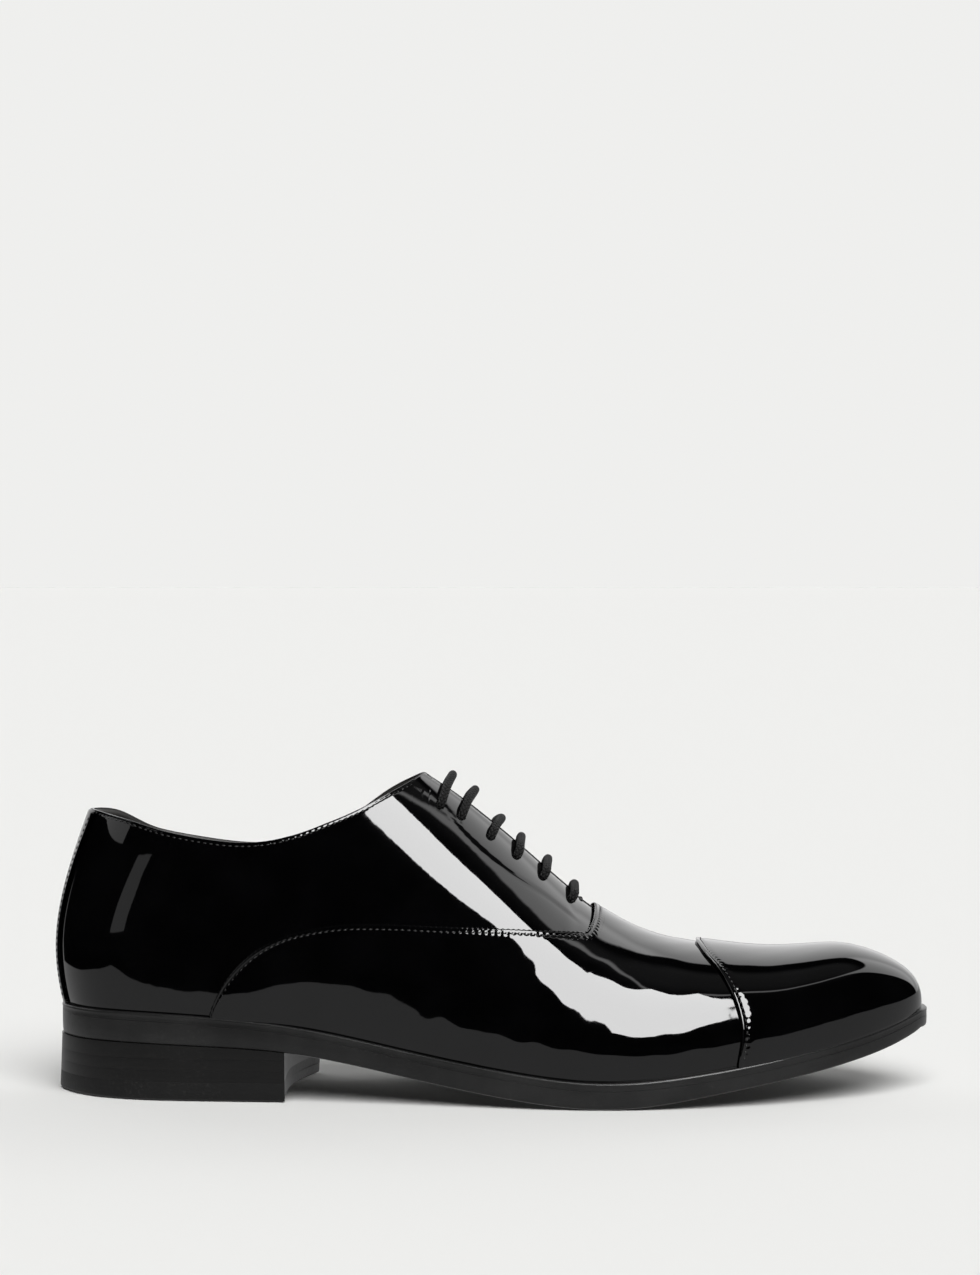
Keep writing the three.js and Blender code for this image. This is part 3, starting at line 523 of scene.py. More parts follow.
def gridPiece(name, points, normals, material):
    if normals is not None:
        turn = np.cross(points[1:, :-1] - points[:-1, :-1], points[:-1, 1:] - points[:-1, :-1])
        if (turn * normals[:-1, :-1]).sum() < 0:
            points = points[:, ::-1]
    count, across = points.shape[0], points.shape[1]
    bpy.ops.object.select_all(action="DESELECT")
    bpy.ops.mesh.primitive_grid_add(x_subdivisions=count - 1, y_subdivisions=across - 1, size=2)
    piece = bpy.context.object
    piece.name = piece.data.name = name
    start = np.empty(len(piece.data.vertices) * 3)
    piece.data.vertices.foreach_get("co", start)
    start = start.reshape(-1, 3)
    i = np.rint((start[:, 0] + 1) / 2 * (count - 1)).astype(int)
    j = np.rint((start[:, 1] + 1) / 2 * (across - 1)).astype(int)
    piece.data.vertices.foreach_set("co", placed(points[i, j]).ravel())
    piece.data.update()
    piece.data.materials.append(materials[material])
    return piece


def editMesh(piece, work):
    shape = bmesh.new()
    shape.from_mesh(piece.data)
    work(shape)
    shape.to_mesh(piece.data)
    shape.free()
    piece.data.update()


def mergeDoubles(piece, distance=0.00001):
    editMesh(piece, lambda shape: bmesh.ops.remove_doubles(shape, verts=shape.verts, dist=distance))


def addModifier(piece, kind, **settings):
    made = piece.modifiers.new(kind.lower(), kind)
    for key, value in settings.items():
        setattr(made, key, value)
    bpy.context.view_layer.objects.active = piece
    bpy.ops.object.modifier_apply(modifier=made.name)


def choose(piece):
    bpy.ops.object.select_all(action="DESELECT")
    piece.select_set(True)
    bpy.context.view_layer.objects.active = piece


def facesOutward(piece):
    choose(piece)
    bpy.ops.object.mode_set(mode="EDIT")
    bpy.ops.mesh.select_all(action="SELECT")
    bpy.ops.mesh.normals_make_consistent(inside=False)
    bpy.ops.object.mode_set(mode="OBJECT")


def smoothPiece(piece, angle=38):
    choose(piece)
    bpy.ops.object.shade_smooth_by_angle(angle=math.radians(angle))


def giveWall(piece, thickness):
    mergeDoubles(piece)
    addModifier(piece, "SOLIDIFY", thickness=thickness * mm, offset=-1, use_rim=True,
                use_even_offset=False)
    mergeDoubles(piece, 0.000002)
    smoothPiece(piece)


def finishPiece(piece, slot, body, *nodes):
    if nodes:
        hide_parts(*nodes)
    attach(piece, body)
    return piece


def edgeDrop(distance, radius=0.5):
    short = np.clip(radius - distance, 0, radius)
    return radius - np.sqrt(radius**2 - short**2)


# the thread pulls a shallow channel beside the edge, deepest at each stitch hole
def stitchChannel(distance, travel, inset=1.5, depth=0.2):
    pull = 0.62 + 0.38 * np.cos(2 * math.pi * travel / stitchPitch)
    return depth * pull * np.exp(-((distance - inset) / 0.5) ** 2)


def travelAlong(path):
    step = np.linalg.norm(np.diff(path, axis=0), axis=-1)
    return np.concatenate([[0], np.cumsum(step)])


# low waves that a lasted upper keeps, about a tenth of a millimetre at most
def lastedWaves(points, size):
    total = 0
    for k, (a, b, c) in enumerate(((0.61, 0.23, 0.31), (-0.29, 0.47, 0.52), (0.36, -0.5, 0.21),
                                   (0.12, 0.3, -0.66), (0.83, 0.1, 0.55), (-0.7, 0.62, 0.4))):
        total = total + np.sin(points @ np.array([a, b, c]) * (0.26 + 0.08 * k) + 1.7 * k)
    return total / 6 * size


# straight columns from one edge to the other, with finer rows beside each open edge
def ruled(aV, aS, bV, bS, count, fineStart=True, fineEnd=False):
    t = np.linspace(0, 1, 9)
    path = skin(aV[:, None] + (bV - aV)[:, None] * t, aS[:, None] + (bS - aS)[:, None] * t)
    length = np.linalg.norm(np.diff(path, axis=1), axis=-1).sum(1)[:, None]
    lead = edgeSteps * np.minimum(1, 0.3 * length / edgeSteps[-1]) if fineStart else length * 0
    tail = edgeSteps * np.minimum(1, 0.3 * length / edgeSteps[-1]) if fineEnd else length * 0
    first, final = lead[:, -1:], length - tail[:, -1:]
    body = first + (final - first) * np.linspace(0, 1, count + 1)[1:-1]
    distance = np.concatenate([lead, body, (length - tail)[:, ::-1]], 1)
    share = distance / np.maximum(length, 1e-6)
    v = aV[:, None] + (bV - aV)[:, None] * share
    s = aS[:, None] + (bS - aS)[:, None] * share
    return v, s, distance, length


def byLength(v, s, step):
    travel = travelAlong(skin(v, s))
    marks = np.linspace(0, travel[-1], max(int(round(travel[-1] / step)), 2) + 1)
    return np.interp(marks, travel, v), np.interp(marks, travel, s), marks


turnIn = {"back": 0.35, "down": 0.95}


def foldedUnder(points, normals):
    low = points - normals * turnIn["back"]
    low[..., 2] -= turnIn["down"]
    return low


def turnedIn(points, normals):
    return np.concatenate([points, foldedUnder(points[:, -1:], normals[:, -1:])], 1)


eyeletV = stationAt(np.array(panelEdges["eyeletX"]))
eyeletS = spanOfReach(eyeletV, panelEdges["eyeletReach"])


def cutHoles(piece, side, offset, radius):
    def work(shape):
        shape.faces.ensure_lookup_table()
        for v, s in zip(eyeletV, eyeletS):
            centre = Vector(placed(raised(v, side * s, offset)))
            axis = Vector(outward(v, side * s))
            reach = radius * mm
            near = [face for face in shape.faces if (face.calc_center_median() - centre).length < reach]
            bmesh.ops.delete(shape, geom=near, context="FACES")
            for vert in shape.verts:
                away = vert.co - centre
                flat = away - axis * away.dot(axis)
                if vert.is_boundary and away.length < reach * 1.9:
                    vert.co += flat.normalized() * reach - flat
    editMesh(piece, work)


# ---- quarters ----
quarter = {"rows": 42, "thickness": 1.0, "heelCell": 0.62, "facingCell": 0.55, "frontX": 42.5,
           "support": [[-32, 12.4], [-22, 13.2], [-17.5, 14.2], [-12, 16.9], [-6, 19.2],
                       [1, 21.1], [10.6, 22.6], [20, 22.8], [28, 24.1], [33, 24.7]],
           "supportRise": 0.3, "waves": 0.02}


def quarterColumns(q):
    heelRound = np.linspace(0, 3, 66)[:-1]
    start, length = panelEdges["cornerX"], panelEdges["cornerRound"]
    side = stationAt(np.arange(run("x", 3), start, q["heelCell"]))
    corner = stationAt(quarterTurn(start, length, 20))
    front = stationAt(np.arange(start + length + q["facingCell"], q["frontX"], q["facingCell"]))
    return np.concatenate([heelRound, side, corner, front])


quarterV = quarterColumns(quarter)


# the facing stands a little proud where a stay is stitched in under the eyelets
def facingStep(q, v, s):
    x = run("x", v)
    stay = s - spanOfReach(np.maximum(v, 0.3), along(q["support"], x))
    wide = stay * run("half", v) * 1.5
    fade = smooth((x + 33) / 10)
    return fade * (q["supportRise"] * (1 - smooth((wide + 1.1) / 2.2))
                   - 0.16 * np.exp(-(wide / 0.75) ** 2))


def makeQuarter(q, side, word):
    top = topSpan(quarterV, side > 0)
    v, s, distance, _ = ruled(quarterV, top, quarterV, lapSpan(quarterV), q["rows"])
    x = run("x", v)
    offset = -0.35 * smooth((x - 26) / 6) - edgeDrop(distance)
    offset += facingStep(q, v, s) * (1 - smooth((x - 26) / 8))
    offset -= stitchChannel(distance, travelAlong(skin(quarterV, top))[:, None])
    offset += lastedWaves(skin(v, side * s), q["waves"])
    points = raised(v, side * s, offset)
    normals = outward(v, side * s)
    piece = gridPiece(f"quarter_{word}_panel", turnedIn(points, normals),
                      np.concatenate([normals, normals[:, -1:]], 1), "patentLeather")
    cutHoles(piece, side, 0, panelEdges["holeRadius"])
    giveWall(piece, q["thickness"])
    return finishPiece(piece, "patent_leather", "shoe", f"quarter_{word}")


for side, word in ((-1, "lateral"), (1, "medial")):
    makeQuarter(quarter, side, word)
print("quarters laid")


# ---- linings seen through the foot opening ----
lining = {"rows": 40, "thickness": 0.8, "depth": -2.2, "holeRadius": 2.3}


def makeQuarterLining(q):
    half = quarterV[quarterV < stationAt(41)]
    v = np.concatenate([-half[:0:-1], half])
    top = topSpan(v, v > 0)
    vv, ss, distance, _ = ruled(v, top, v, np.full(len(v), 0.985), q["rows"])
    offset = q["depth"] + 1.15 * (1 - smooth(distance / 3.2)) - 0.25 * edgeDrop(distance)
    points = raised(vv, ss, offset)
    piece = gridPiece("quarter_lining_panel", points, outward(vv, ss), "liningLeather")
    for side in (-1, 1):
        cutHoles(piece, side, q["depth"], q["holeRadius"])
    giveWall(piece, q["thickness"])
    return finishPiece(piece, "lining_leather", "shoe", "quarter_lining_lateral",
                       "quarter_lining_medial")


makeQuarterLining(lining)
print("lining laid")


# ---- vamp ----
vamp = {"rows": 34, "thickness": 1.0, "lift": 1.4, "lap": 4.0, "fade": 34.0, "cell": 0.45,
        "fanCell": 0.3, "fanX": 15.0, "under": 0.8, "toothPitch": 1.8, "tooth": 0.45,
        "waves": 0.11}


def seamCurve(q, side):
    x = seamX(panelEdges["seamStart"], 900, 60)
    v = stationAt(x)
    wing = x <= q["fanX"]
    v1, s1, _ = byLength(v[wing], seamSpan(v[wing]), q["cell"])
    v2, s2, _ = byLength(v[~wing], seamSpan(v[~wing]), q["fanCell"])
    fan = np.concatenate([np.zeros(len(v1)), np.linspace(0, 1, len(v2) + 1)[1:]])
    return np.concatenate([v1, v2]), side * np.concatenate([s1, s2]), fan


def lowerEdge(q, v, fan, side):
    startV = stationAt(q["fanX"])
    cornerV = capStation(1.0) + q["under"]
    t = np.linspace(0, 1, 200)
    pathV = np.concatenate([startV + (cornerV - startV) * t, capStation(1 - t) + q["under"]])
    pathS = np.concatenate([np.ones(200), 1 - t])
    travel = travelAlong(skin(pathV, pathS))
    at = fan * travel[-1]
    inFan = fan > 0
    return (np.where(inFan, np.interp(at, travel, pathV), v),
            side * np.where(inFan, np.interp(at, travel, pathS), 1.0))


def nearest(points, line):
    flat = points.reshape(-1, 3)
    best = np.full(len(flat), 1e9)
    for some in np.array_split(line, max(len(line) // 60, 1)):
        gap = flat[:, None, :] - some[None, :, :]
        best = np.minimum(best, np.sqrt((gap**2).sum(-1)).min(1))
    return best.reshape(points.shape[:-1])


def vampRise(q, v, s):
    line = stationAt(seamX(panelEdges["seamStart"], 240, 24))
    edge = np.concatenate([skin(line, seamSpan(line)), skin(line, -seamSpan(line))])
    return q["lift"] * (1 - smooth((nearest(skin(v, s), edge) - q["lap"]) / q["fade"]))


def makeVamp(q):
    lateral = seamCurve(q, -1)
    medial = seamCurve(q, 1)
    sides = []
    for (v, s, fan), side in ((lateral, -1), (medial, 1)):
        sides.append((v, s, *lowerEdge(q, v, fan, side)))
    aV, aS, bV, bS = (np.concatenate([left, right[::-1][1:]]) for left, right in zip(*sides))
    v, s, distance, length = ruled(aV, aS, bV, bS, q["rows"])
    travel = travelAlong(skin(aV, aS))
    wave = np.abs((travel / q["toothPitch"]) % 1 - 0.5) * 2
    tooth = (wave[:, None] * q["tooth"] * np.clip(1 - distance / 0.6, 0, 1)
             * np.clip(length / 8, 0, 1))
    share = tooth / np.maximum(length, 1e-6)
    v = v - (bV - aV)[:, None] * share
    s = s - (bS - aS)[:, None] * share
    offset = vampRise(q, v, s) - edgeDrop(distance, 0.55)
    offset -= stitchChannel(distance, travel[:, None], 1.6, 0.3)
    flex = smooth((run("x", v) + 50) / 40) * smooth(distance / 8)
    offset += lastedWaves(skin(v, s), q["waves"]) * (0.3 + 0.7 * flex)
    points = raised(v, s, offset)
    normals = outward(v, s)
    piece = gridPiece("vamp_panel", turnedIn(points, normals),
                      np.concatenate([normals, normals[:, -1:]], 1), "patentLeather")
    giveWall(piece, q["thickness"])
    return finishPiece(piece, "patent_leather", "shoe", "vamp")


makeVamp(vamp)
print("vamp laid")


# ---- toe cap ----
toeCap = {"columns": 300, "rows": 54, "lift": 1.4, "thickness": 1.0, "waves": 0.05}


def makeToeCap(q):
    s = np.linspace(-1, 1, q["columns"] + 1)
    v, ss, distance, _ = ruled(capStation(s), s, np.full(len(s), float(toeEnd)), s, q["rows"])
    travel = travelAlong(skin(capStation(s), s))[:, None]
    offset = q["lift"] - edgeDrop(distance) - stitchChannel(distance, travel, 1.6, 0.22)
    offset += lastedWaves(skin(v, ss), q["waves"]) * smooth(distance / 6)
    points = raised(v, ss, offset)
    normals = outward(v, ss)
    ends = [foldedUnder(points[edge], normals[edge])[None] for edge in (0, -1)]
    points = np.concatenate([ends[0], points, ends[1]])
    normals = np.concatenate([normals[:1], normals, normals[-1:]])
    piece = gridPiece("toe_cap_panel", points, normals, "patentLeather")
    giveWall(piece, q["thickness"])
    return finishPiece(piece, "patent_leather", "shoe", "toe_cap")


makeToeCap(toeCap)
print("toe cap laid")


# ---- back strip ----
backStrip = {"half": 7.0, "flare": 0.6, "rows": 60, "columns": 20, "lift": 1.2,
             "thickness": 0.8, "top": 0.985}


def stripPoint(q, f, y):
    table = np.linspace(0, 3.2, 400)
    v = np.empty(np.broadcast(f, y).shape)
    f, y = np.broadcast_arrays(f, y)
    for index, share in enumerate(f[:, 0]):
        span = 1 - (1 - topSpan(table)) * share * q["top"]
        width = np.abs(skin(table, span)[:, 1])
        v[index] = np.interp(np.abs(y[index]), width, table)
    span = 1 - (1 - topSpan(v)) * f * q["top"]
    return v * np.where(y < 0, -1, 1) * -1, span


def stripAcross(q):
    inner = np.linspace(-1, 1, q["columns"] + 1)[1:-1] * (1 - edgeSteps[-1] / q["half"])
    edge = 1 - edgeSteps / q["half"]
    return np.concatenate([-edge, inner, edge[::-1]])


def makeBackStrip(q):
    f = np.linspace(0, 1, q["rows"] + 1)[:, None]
    half = q["half"] + q["flare"] * (2 * f - 1) ** 2
    c = stripAcross(q)[None, :]
    v, s = stripPoint(q, f, half * c)
    distance = np.minimum((1 - np.abs(c)) * half, (1 - f) * 60)
    points = raised(v, s, q["lift"] - edgeDrop(distance, 0.4))
    normals = outward(v, s)
    low = points[:1] - normals[:1] * 0.2
    low[..., 2] -= 0.9
    piece = gridPiece("back_strip_panel", np.concatenate([low, points]),
                      np.concatenate([normals[:1], normals]), "patentLeather")
    giveWall(piece, q["thickness"])
    return finishPiece(piece, "patent_leather", "shoe", "back_strip")


makeBackStrip(backStrip)
print("back strip laid")


# ---- tongue ----
tongue = {"front": 47.0, "top": -24.0, "half": 14.0, "drop": 7.2, "thickness": 1.7,
          "rows": 60, "columns": 30}


def makeTongue(q):
    f = np.linspace(0, 1, q["rows"] + 1)[:, None]
    front, top = stationAt(q["front"]), stationAt(q["top"])
    v = front + (top - front) * f
    half = q["half"] + 6 * smooth(f) - 7 * smooth((f - 0.9) / 0.1)
    across = np.linspace(-1, 1, q["columns"] + 1)[None, :]
    s = spanOfReach(v, np.abs(half * across)) * np.sign(across)
    v = v + 0 * s
    edge = np.minimum((1 - np.abs(across)) * half, np.minimum(f, 1 - f) * 66)
    points = raised(v, s, -q["drop"] - edgeDrop(edge, 0.8) * 0.9)
    piece = gridPiece("tongue_panel", points, outward(v, s), "patentLeather")
    giveWall(piece, q["thickness"] - 0.1)
    return finishPiece(piece, "patent_leather", "tongue_flap", "tongue")


makeTongue(tongue)
print("tongue laid")


# ---- sole, welt and sock: a run of cross sections closed round the edge ----
def seatZ(x):
    return run("seat", stationAt(x))


def treadZ(x):
    return np.maximum(run("tread", stationAt(x)), 0)


def blendAcross(left, right, f):
    return left[:, None] * (1 - f)[None, :, None] + right[:, None] * f[None, :, None]


def closedSection(name, plan, profile, top, bottom, across, material, breast=False):
    edges = {side: [plan(side, inset, share) for inset, share in profile] for side in (-1, 1)}

    def raisedTo(xy, share):
        z = top(xy[..., 0]) * (1 - share) + bottom(xy[..., 0]) * share
        return np.concatenate([xy, z[..., None]], -1)

    f = np.linspace(0, 1, across + 1)[1:-1]
    under = blendAcross(edges[-1][-1], edges[1][-1], f)
    over = blendAcross(edges[1][0], edges[-1][0], f)
    loop = [raisedTo(xy, share)[:, None] for xy, (_, share) in zip(edges[-1], profile)]
    loop.append(raisedTo(under, 1))
    loop += [raisedTo(xy, share)[:, None] for xy, (_, share)
             in reversed(list(zip(edges[1], profile)))]
    loop.append(raisedTo(over, 0))
    loop.append(loop[0])
    points = np.concatenate(loop, 1)
    if breast:
        flat = points[-1:].copy()
        flat[..., 2] = (points[-1, :, 2].max() + points[-1, :, 2].min()) / 2
        points = np.concatenate([points, flat])
    piece = gridPiece(name, points, None, material)
    mergeDoubles(piece, 0.00002)
    facesOutward(piece)
    smoothPiece(piece, 34)
    return piece


soleStations = np.concatenate([np.linspace(0, 2, 34)[:-1], np.linspace(2, 19, 150)[:-1],
                               np.linspace(19, toeEnd, 40)])
sole = {"flange": -1.3, "weltLayer": 2.8, "across": 12}
weltProfile = [(2.0, 0.0), (0.4, 0.0), (-0.6, 0.0), (-0.95, 0.04), (-1.18, 0.12), (-1.26, 0.24),
               (-1.26, 0.34), (-1.16, 0.43), (-1.12, 0.52), (-1.16, 0.75), (-1.17, 0.98),
               (-1.1, 1.0), (2.0, 1.0)]
outsoleProfile = [(2.0, 0.0), (-1.1, 0.0), (-1.17, 0.01), (-1.18, 0.2), (-1.16, 0.5),
                  (-1.08, 0.78), (-0.92, 0.9), (-0.7, 0.97), (-0.35, 1.0), (2.0, 1.0)]


def soleEdgePlan(side, inset, share):
    return rim(soleStations, side, inset)


piece = closedSection("welt_edge", soleEdgePlan, weltProfile, seatZ,
                      lambda x: seatZ(x) - sole["weltLayer"], sole["across"], "soleEdge")
finishPiece(piece, "sole_leather", "shoe", "welt")
piece = closedSection("outsole_edge", soleEdgePlan, outsoleProfile,
                      lambda x: seatZ(x) - sole["weltLayer"] - 0.04, treadZ, sole["across"],
                      "soleEdge")
finishPiece(piece, "sole_leather", "shoe", "outsole")
sockProfile = [(4.5, 0.0), (4.1, 0.15), (4.0, 0.5), (4.0, 1.0)]
piece = closedSection("sock_panel", soleEdgePlan, sockProfile, lambda x: seatZ(x) + 3.3,
                      lambda x: seatZ(x) + 2.4, sole["across"], "sockLeather")
finishPiece(piece, "lining_leather", "shoe", "sock_lining")
print("sole ready")


# ---- heel ----
heel = {"taper": 2.2, "kick": 0.9, "breastOuter": -71.0, "breastInner": -61.5, "hollow": 5.0,
        "turnV": 5.0, "topPiece": 6.3, "lift": 3.8, "gap": 0.3, "across": 14, "seam": 0.01,
        "edge": 0.02}


def heelPlan(q, z):
    flare = 1 - z / 20
    inset = sole["flange"] + q["taper"] * flare
    turn = np.concatenate([np.linspace(0, 0.35, 30)[:-1], np.linspace(0.35, 1, 46)])
    back = np.array([-(q["taper"] + q["kick"]) * flare, 0])

    def plan(side, extra, share):
        around = rim(q["turnV"] * turn, side, inset + extra)
        around = around + back * ((1 - turn) ** 2)[:, None]
        outer = rim(stationAt(q["breastOuter"]), side, inset + extra)
        x = q["breastOuter"] if side < 0 else q["breastInner"]
        front = np.linspace(0, 1, 24)[1:, None]
        ahead = around[-1] * (1 - front) + np.array([x, outer[1]]) * front
        return np.concatenate([around, ahead])

    return plan


def heelLayer(q, name, low, high, top, material, slot, packed, roundBelow):
    above, below = heelPlan(q, high), heelPlan(q, low)
    edge = q["edge"]

    def plan(side, inset, share):
        return above(side, inset, share) * (1 - share) + below(side, inset, share) * share

    profile = [(edge + 1, 0.0), (edge, 0.0), (edge * 0.3, 0.006), (0.0, 0.02), (0.0, 0.5)]
    profile += [(0.0, 0.98), (edge * 0.3, 0.994), (edge, 1.0), (edge + 1, 1.0)]
    if roundBelow:
        profile = profile[:5] + [(0.0, 0.86), (0.15, 0.93), (0.4, 0.975), (0.8, 1.0), (1.8, 1.0)]
    piece = closedSection(name, plan, profile, top, lambda x: 0 * x + low, q["across"], material,
                          breast=True)

    def hollow(shape):
        front = max(vert.co.x for vert in shape.verts)
        for vert in shape.verts:
            side = (vert.co.y / mm + middle[1] + 34) / 68
            reach = np.clip((vert.co.x / mm + middle[0] + 92) / 26, 0, 1)
            vert.co.x -= q["hollow"] * mm * max(4 * side * (1 - side), 0) * reach**2
    editMesh(piece, hollow)
    return finishPiece(piece, slot, "shoe", packed)


heelLayer(heel, "heel_top_piece_rubber", 0.0, heel["topPiece"], lambda x: 0 * x + heel["topPiece"],
          "topPiece", "top_piece_rubber", "heel_top_piece", True)
for k in range(2):
    low = heel["topPiece"] + heel["seam"] + k * (heel["lift"] + heel["gap"])
    high = low + heel["lift"] + heel["gap"] - heel["seam"]
    heelLayer(heel, f"heel_lift_{k + 1}_leather", low, high, lambda x, high=high: 0 * x + high,
              "heelStack", "heel_leather", f"heel_lift_{k + 1}", False)
wedge = heel["topPiece"] + 2 * heel["seam"] + 2 * (heel["lift"] + heel["gap"])
heelLayer(heel, "heel_seat_lift_leather", wedge, 18.5, lambda x: treadZ(x) - heel["seam"],
          "heelStack", "heel_leather", "heel_seat_lift", False)
print("heel stacked")


# ---- lace: one cord through all twelve eyelets, six straight bars on the outside ----
lace = {"radius": 1.55, "bend": 1.7, "rise": [0.4, 1.1, 0.8, 1.2, 3.3, 3.0],
        "lean": [0, 0, 0, 1.8, 1.6, 1.2], "inside": -5.43, "step": 0.5, "around": 14}


def laceRoute(q):
    inside, bend = q["inside"], q["bend"]
    reach = panelEdges["eyeletReach"]
    route = []

    def lay(v, s, h):
        route.append(raised(v, s, h))

    def span(v, distance):
        return math.copysign(float(spanOfReach(v, abs(distance))), distance)

    def bar(k, side):
        v, s = eyeletV[k - 1], side * eyeletS[k - 1]
        lay(v, s, 0.2)
        lay(v, side * span(v, reach - bend * 0.3), 0.2 + bend * 0.7)
        for share in (0.12, 0.4, 1, 1.6, 1.88):
            bow = math.sin(math.pi * share / 2) ** 1.5
            forward = q["lean"][k - 1] * bow / 20
            lay(v + forward, side * span(v + forward, reach * (1 - share)),
                0.2 + bend + q["rise"][k - 1] * bow)
        lay(v, -side * span(v, reach - bend * 0.3), 0.2 + bend * 0.7)
        lay(v, -s, 0.2)

    def under(k, to, side, aside):
        v0, s0 = eyeletV[k - 1], side * eyeletS[k - 1]
        v1, s1 = eyeletV[to - 1], side * eyeletS[to - 1]
        ahead = math.copysign(1, v1 - v0)
        lay(v0, s0, inside + bend)
        lay(v0 + ahead * 0.024, s0, inside + bend * 0.3)
        lay(v0 + ahead * 0.08, s0, inside)
        if aside:
            shift = side * span(v0, aside)
            lay(v0 + (v1 - v0) * 0.2, s0 + shift, inside)
            lay(v1 - (v1 - v0) * 0.2, s1 + shift, inside)
        lay(v1 - ahead * 0.08, s1, inside)
        lay(v1 - ahead * 0.024, s1, inside + bend * 0.3)
        lay(v1, s1, inside + bend)

    def tail(k, side):
        v, s = eyeletV[k - 1], side * eyeletS[k - 1]
        runs = ((0, inside + bend), (bend * 0.3, inside + bend * 0.3), (bend, inside),
                (8, inside), (14, inside - 1), (20, inside - 4))
        return [raised(v, s + side * (span(v, reach) if reach else 0), h) for reach, h in runs]

    route += tail(5, -1)[::-1]
    for k, side, to, aside in ((5, -1, 3, 0), (3, 1, 1, 3.2), (1, -1, 2, 0), (2, 1, 4, 0),
                               (4, -1, 6, 3.2), (6, 1, 0, 0)):
        bar(k, side)
        if to:
            under(k, to, -side, aside)
    return np.array(route + tail(6, -1))


def resampled(path, step):
    before = np.concatenate([2 * path[:1] - path[1:2], path, 2 * path[-1:] - path[-2:-1]])
    fine = []
    t = np.linspace(0, 1, 24, endpoint=False)[:, None]
    for k in range(1, len(before) - 2):
        a, b, c, d = before[k - 1:k + 3]
        fine.append(0.5 * (2 * b + (c - a) * t + (2 * a - 5 * b + 4 * c - d) * t**2
                           + (3 * b - a - 3 * c + d) * t**3))
    fine = np.concatenate(fine + [path[-1:]])
    travel = travelAlong(fine)
    marks = np.linspace(0, travel[-1], int(travel[-1] / step) + 1)
    return np.stack([np.interp(marks, travel, fine[:, axis]) for axis in range(3)], -1), travel[-1]


def tubeRings(path, radius, around):
    ahead = np.gradient(path, axis=0)
    ahead /= np.linalg.norm(ahead, axis=-1, keepdims=True)
    up = np.array([0.3, 0.2, 1.0])
    rings = []
    turns = np.linspace(0, 2 * math.pi, around + 1)
    for point, forward in zip(path, ahead):
        up = up - forward * up.dot(forward)
        up /= np.linalg.norm(up)
        side = np.cross(forward, up)
        rings.append(point + radius * (np.cos(turns)[:, None] * up + np.sin(turns)[:, None] * side))
    return np.array(rings)


def makeTube(name, path, radius, around, material):
    rings = tubeRings(path, radius, around)
    for end in (0, -1):
        closed = np.repeat(path[end][None], around + 1, 0)[None]
        rings = np.concatenate([closed, rings] if end == 0 else [rings, closed])
    piece = gridPiece(name, rings, None, material)
    mergeDoubles(piece)
    facesOutward(piece)
    smoothPiece(piece, 60)
    return piece


lacePath, laceLength = resampled(laceRoute(lace), lace["step"])
piece = makeTube("lace_cord", lacePath, lace["radius"], lace["around"], "laceCord")
finishPiece(piece, "lace_cord", "shoe", "lace")
print("lace threaded, mm:", round(float(laceLength)))


# ---- stitch rows: one stitch is modelled and copied along each row ----
stitch = {"length": 1.75, "pitch": stitchPitch, "radius": 0.3, "lift": -0.02,
          "toplineSink": 0.12, "seamSink": 0.16, "capSink": 0.14}


def makeStitchShape(q):
    bpy.ops.object.select_all(action="DESELECT")
    bpy.ops.mesh.primitive_uv_sphere_add(segments=6, ring_count=5, radius=1)
    shape = bpy.context.object
    co = np.array([vert.co for vert in shape.data.vertices])
    loops = [tuple(face.vertices) for face in shape.data.polygons]
    bpy.data.objects.remove(shape, do_unlink=True)
    co = np.stack([co[:, 2] * q["length"] / 2, co[:, 0] * q["radius"], co[:, 1] * q["radius"]], -1)
    co[:, 2] -= 0.3 * (co[:, 0] / (q["length"] / 2)) ** 2
    return co, loops


stitchShape = makeStitchShape(stitch)


def stitchRow(name, lines, q=stitch):
    shape, loops = stitchShape
    points, faces = [], []
    for path, normal in lines:
        travel = travelAlong(path)
        marks = np.arange(q["pitch"] / 2, travel[-1] - q["pitch"] / 2, q["pitch"])
        at = np.stack([np.interp(marks, travel, path[:, a]) for a in range(3)], -1)
        up = np.stack([np.interp(marks, travel, normal[:, a]) for a in range(3)], -1)
        tangent = np.gradient(path, axis=0)
        ahead = np.stack([np.interp(marks, travel, tangent[:, a]) for a in range(3)], -1)
        up /= np.linalg.norm(up, axis=-1, keepdims=True)
        ahead -= up * (ahead * up).sum(-1, keepdims=True)
        ahead /= np.linalg.norm(ahead, axis=-1, keepdims=True)
        side = np.cross(up, ahead)
        for centre, a, b, c in zip(at, ahead, side, up):
            start = len(points) * len(shape)
            points.append(centre + shape @ np.array([a, b, c]) + c * q["lift"])
            faces += [tuple(start + index for index in face) for face in loops]
    mesh = bpy.data.meshes.new(name)
    mesh.from_pydata([tuple(p) for p in placed(np.concatenate(points))], [], faces)
    piece = bpy.data.objects.new(name, mesh)
    scene.collection.objects.link(piece)
    mesh.materials.append(materials["stitchThread"])
    smoothPiece(piece, 60)
    return finishPiece(piece, "patent_leather", "shoe")


def besideEdge(v, s, inset, offset, side):
    path = raised(v, s, offset)
    ahead = np.gradient(path, axis=0)
    ahead /= np.maximum(np.linalg.norm(ahead, axis=-1, keepdims=True), 1e-9)
    normal = outward(v, s)
    return path + np.cross(normal, ahead) * side * inset, normal


def topRow(side, inset):
    v = np.concatenate([np.linspace(stationAt(-145), stationAt(-28), 200),
                        stationAt(quarterTurn(panelEdges["cornerX"], panelEdges["cornerRound"], 40)),
                        np.linspace(stationAt(-20.5), stationAt(34.5), 120)])
    return besideEdge(v, side * topSpan(v, side > 0), inset, -stitch["toplineSink"], side)


stitchRow("topline_stitches", [topRow(side, 1.5) for side in (-1, 1)])


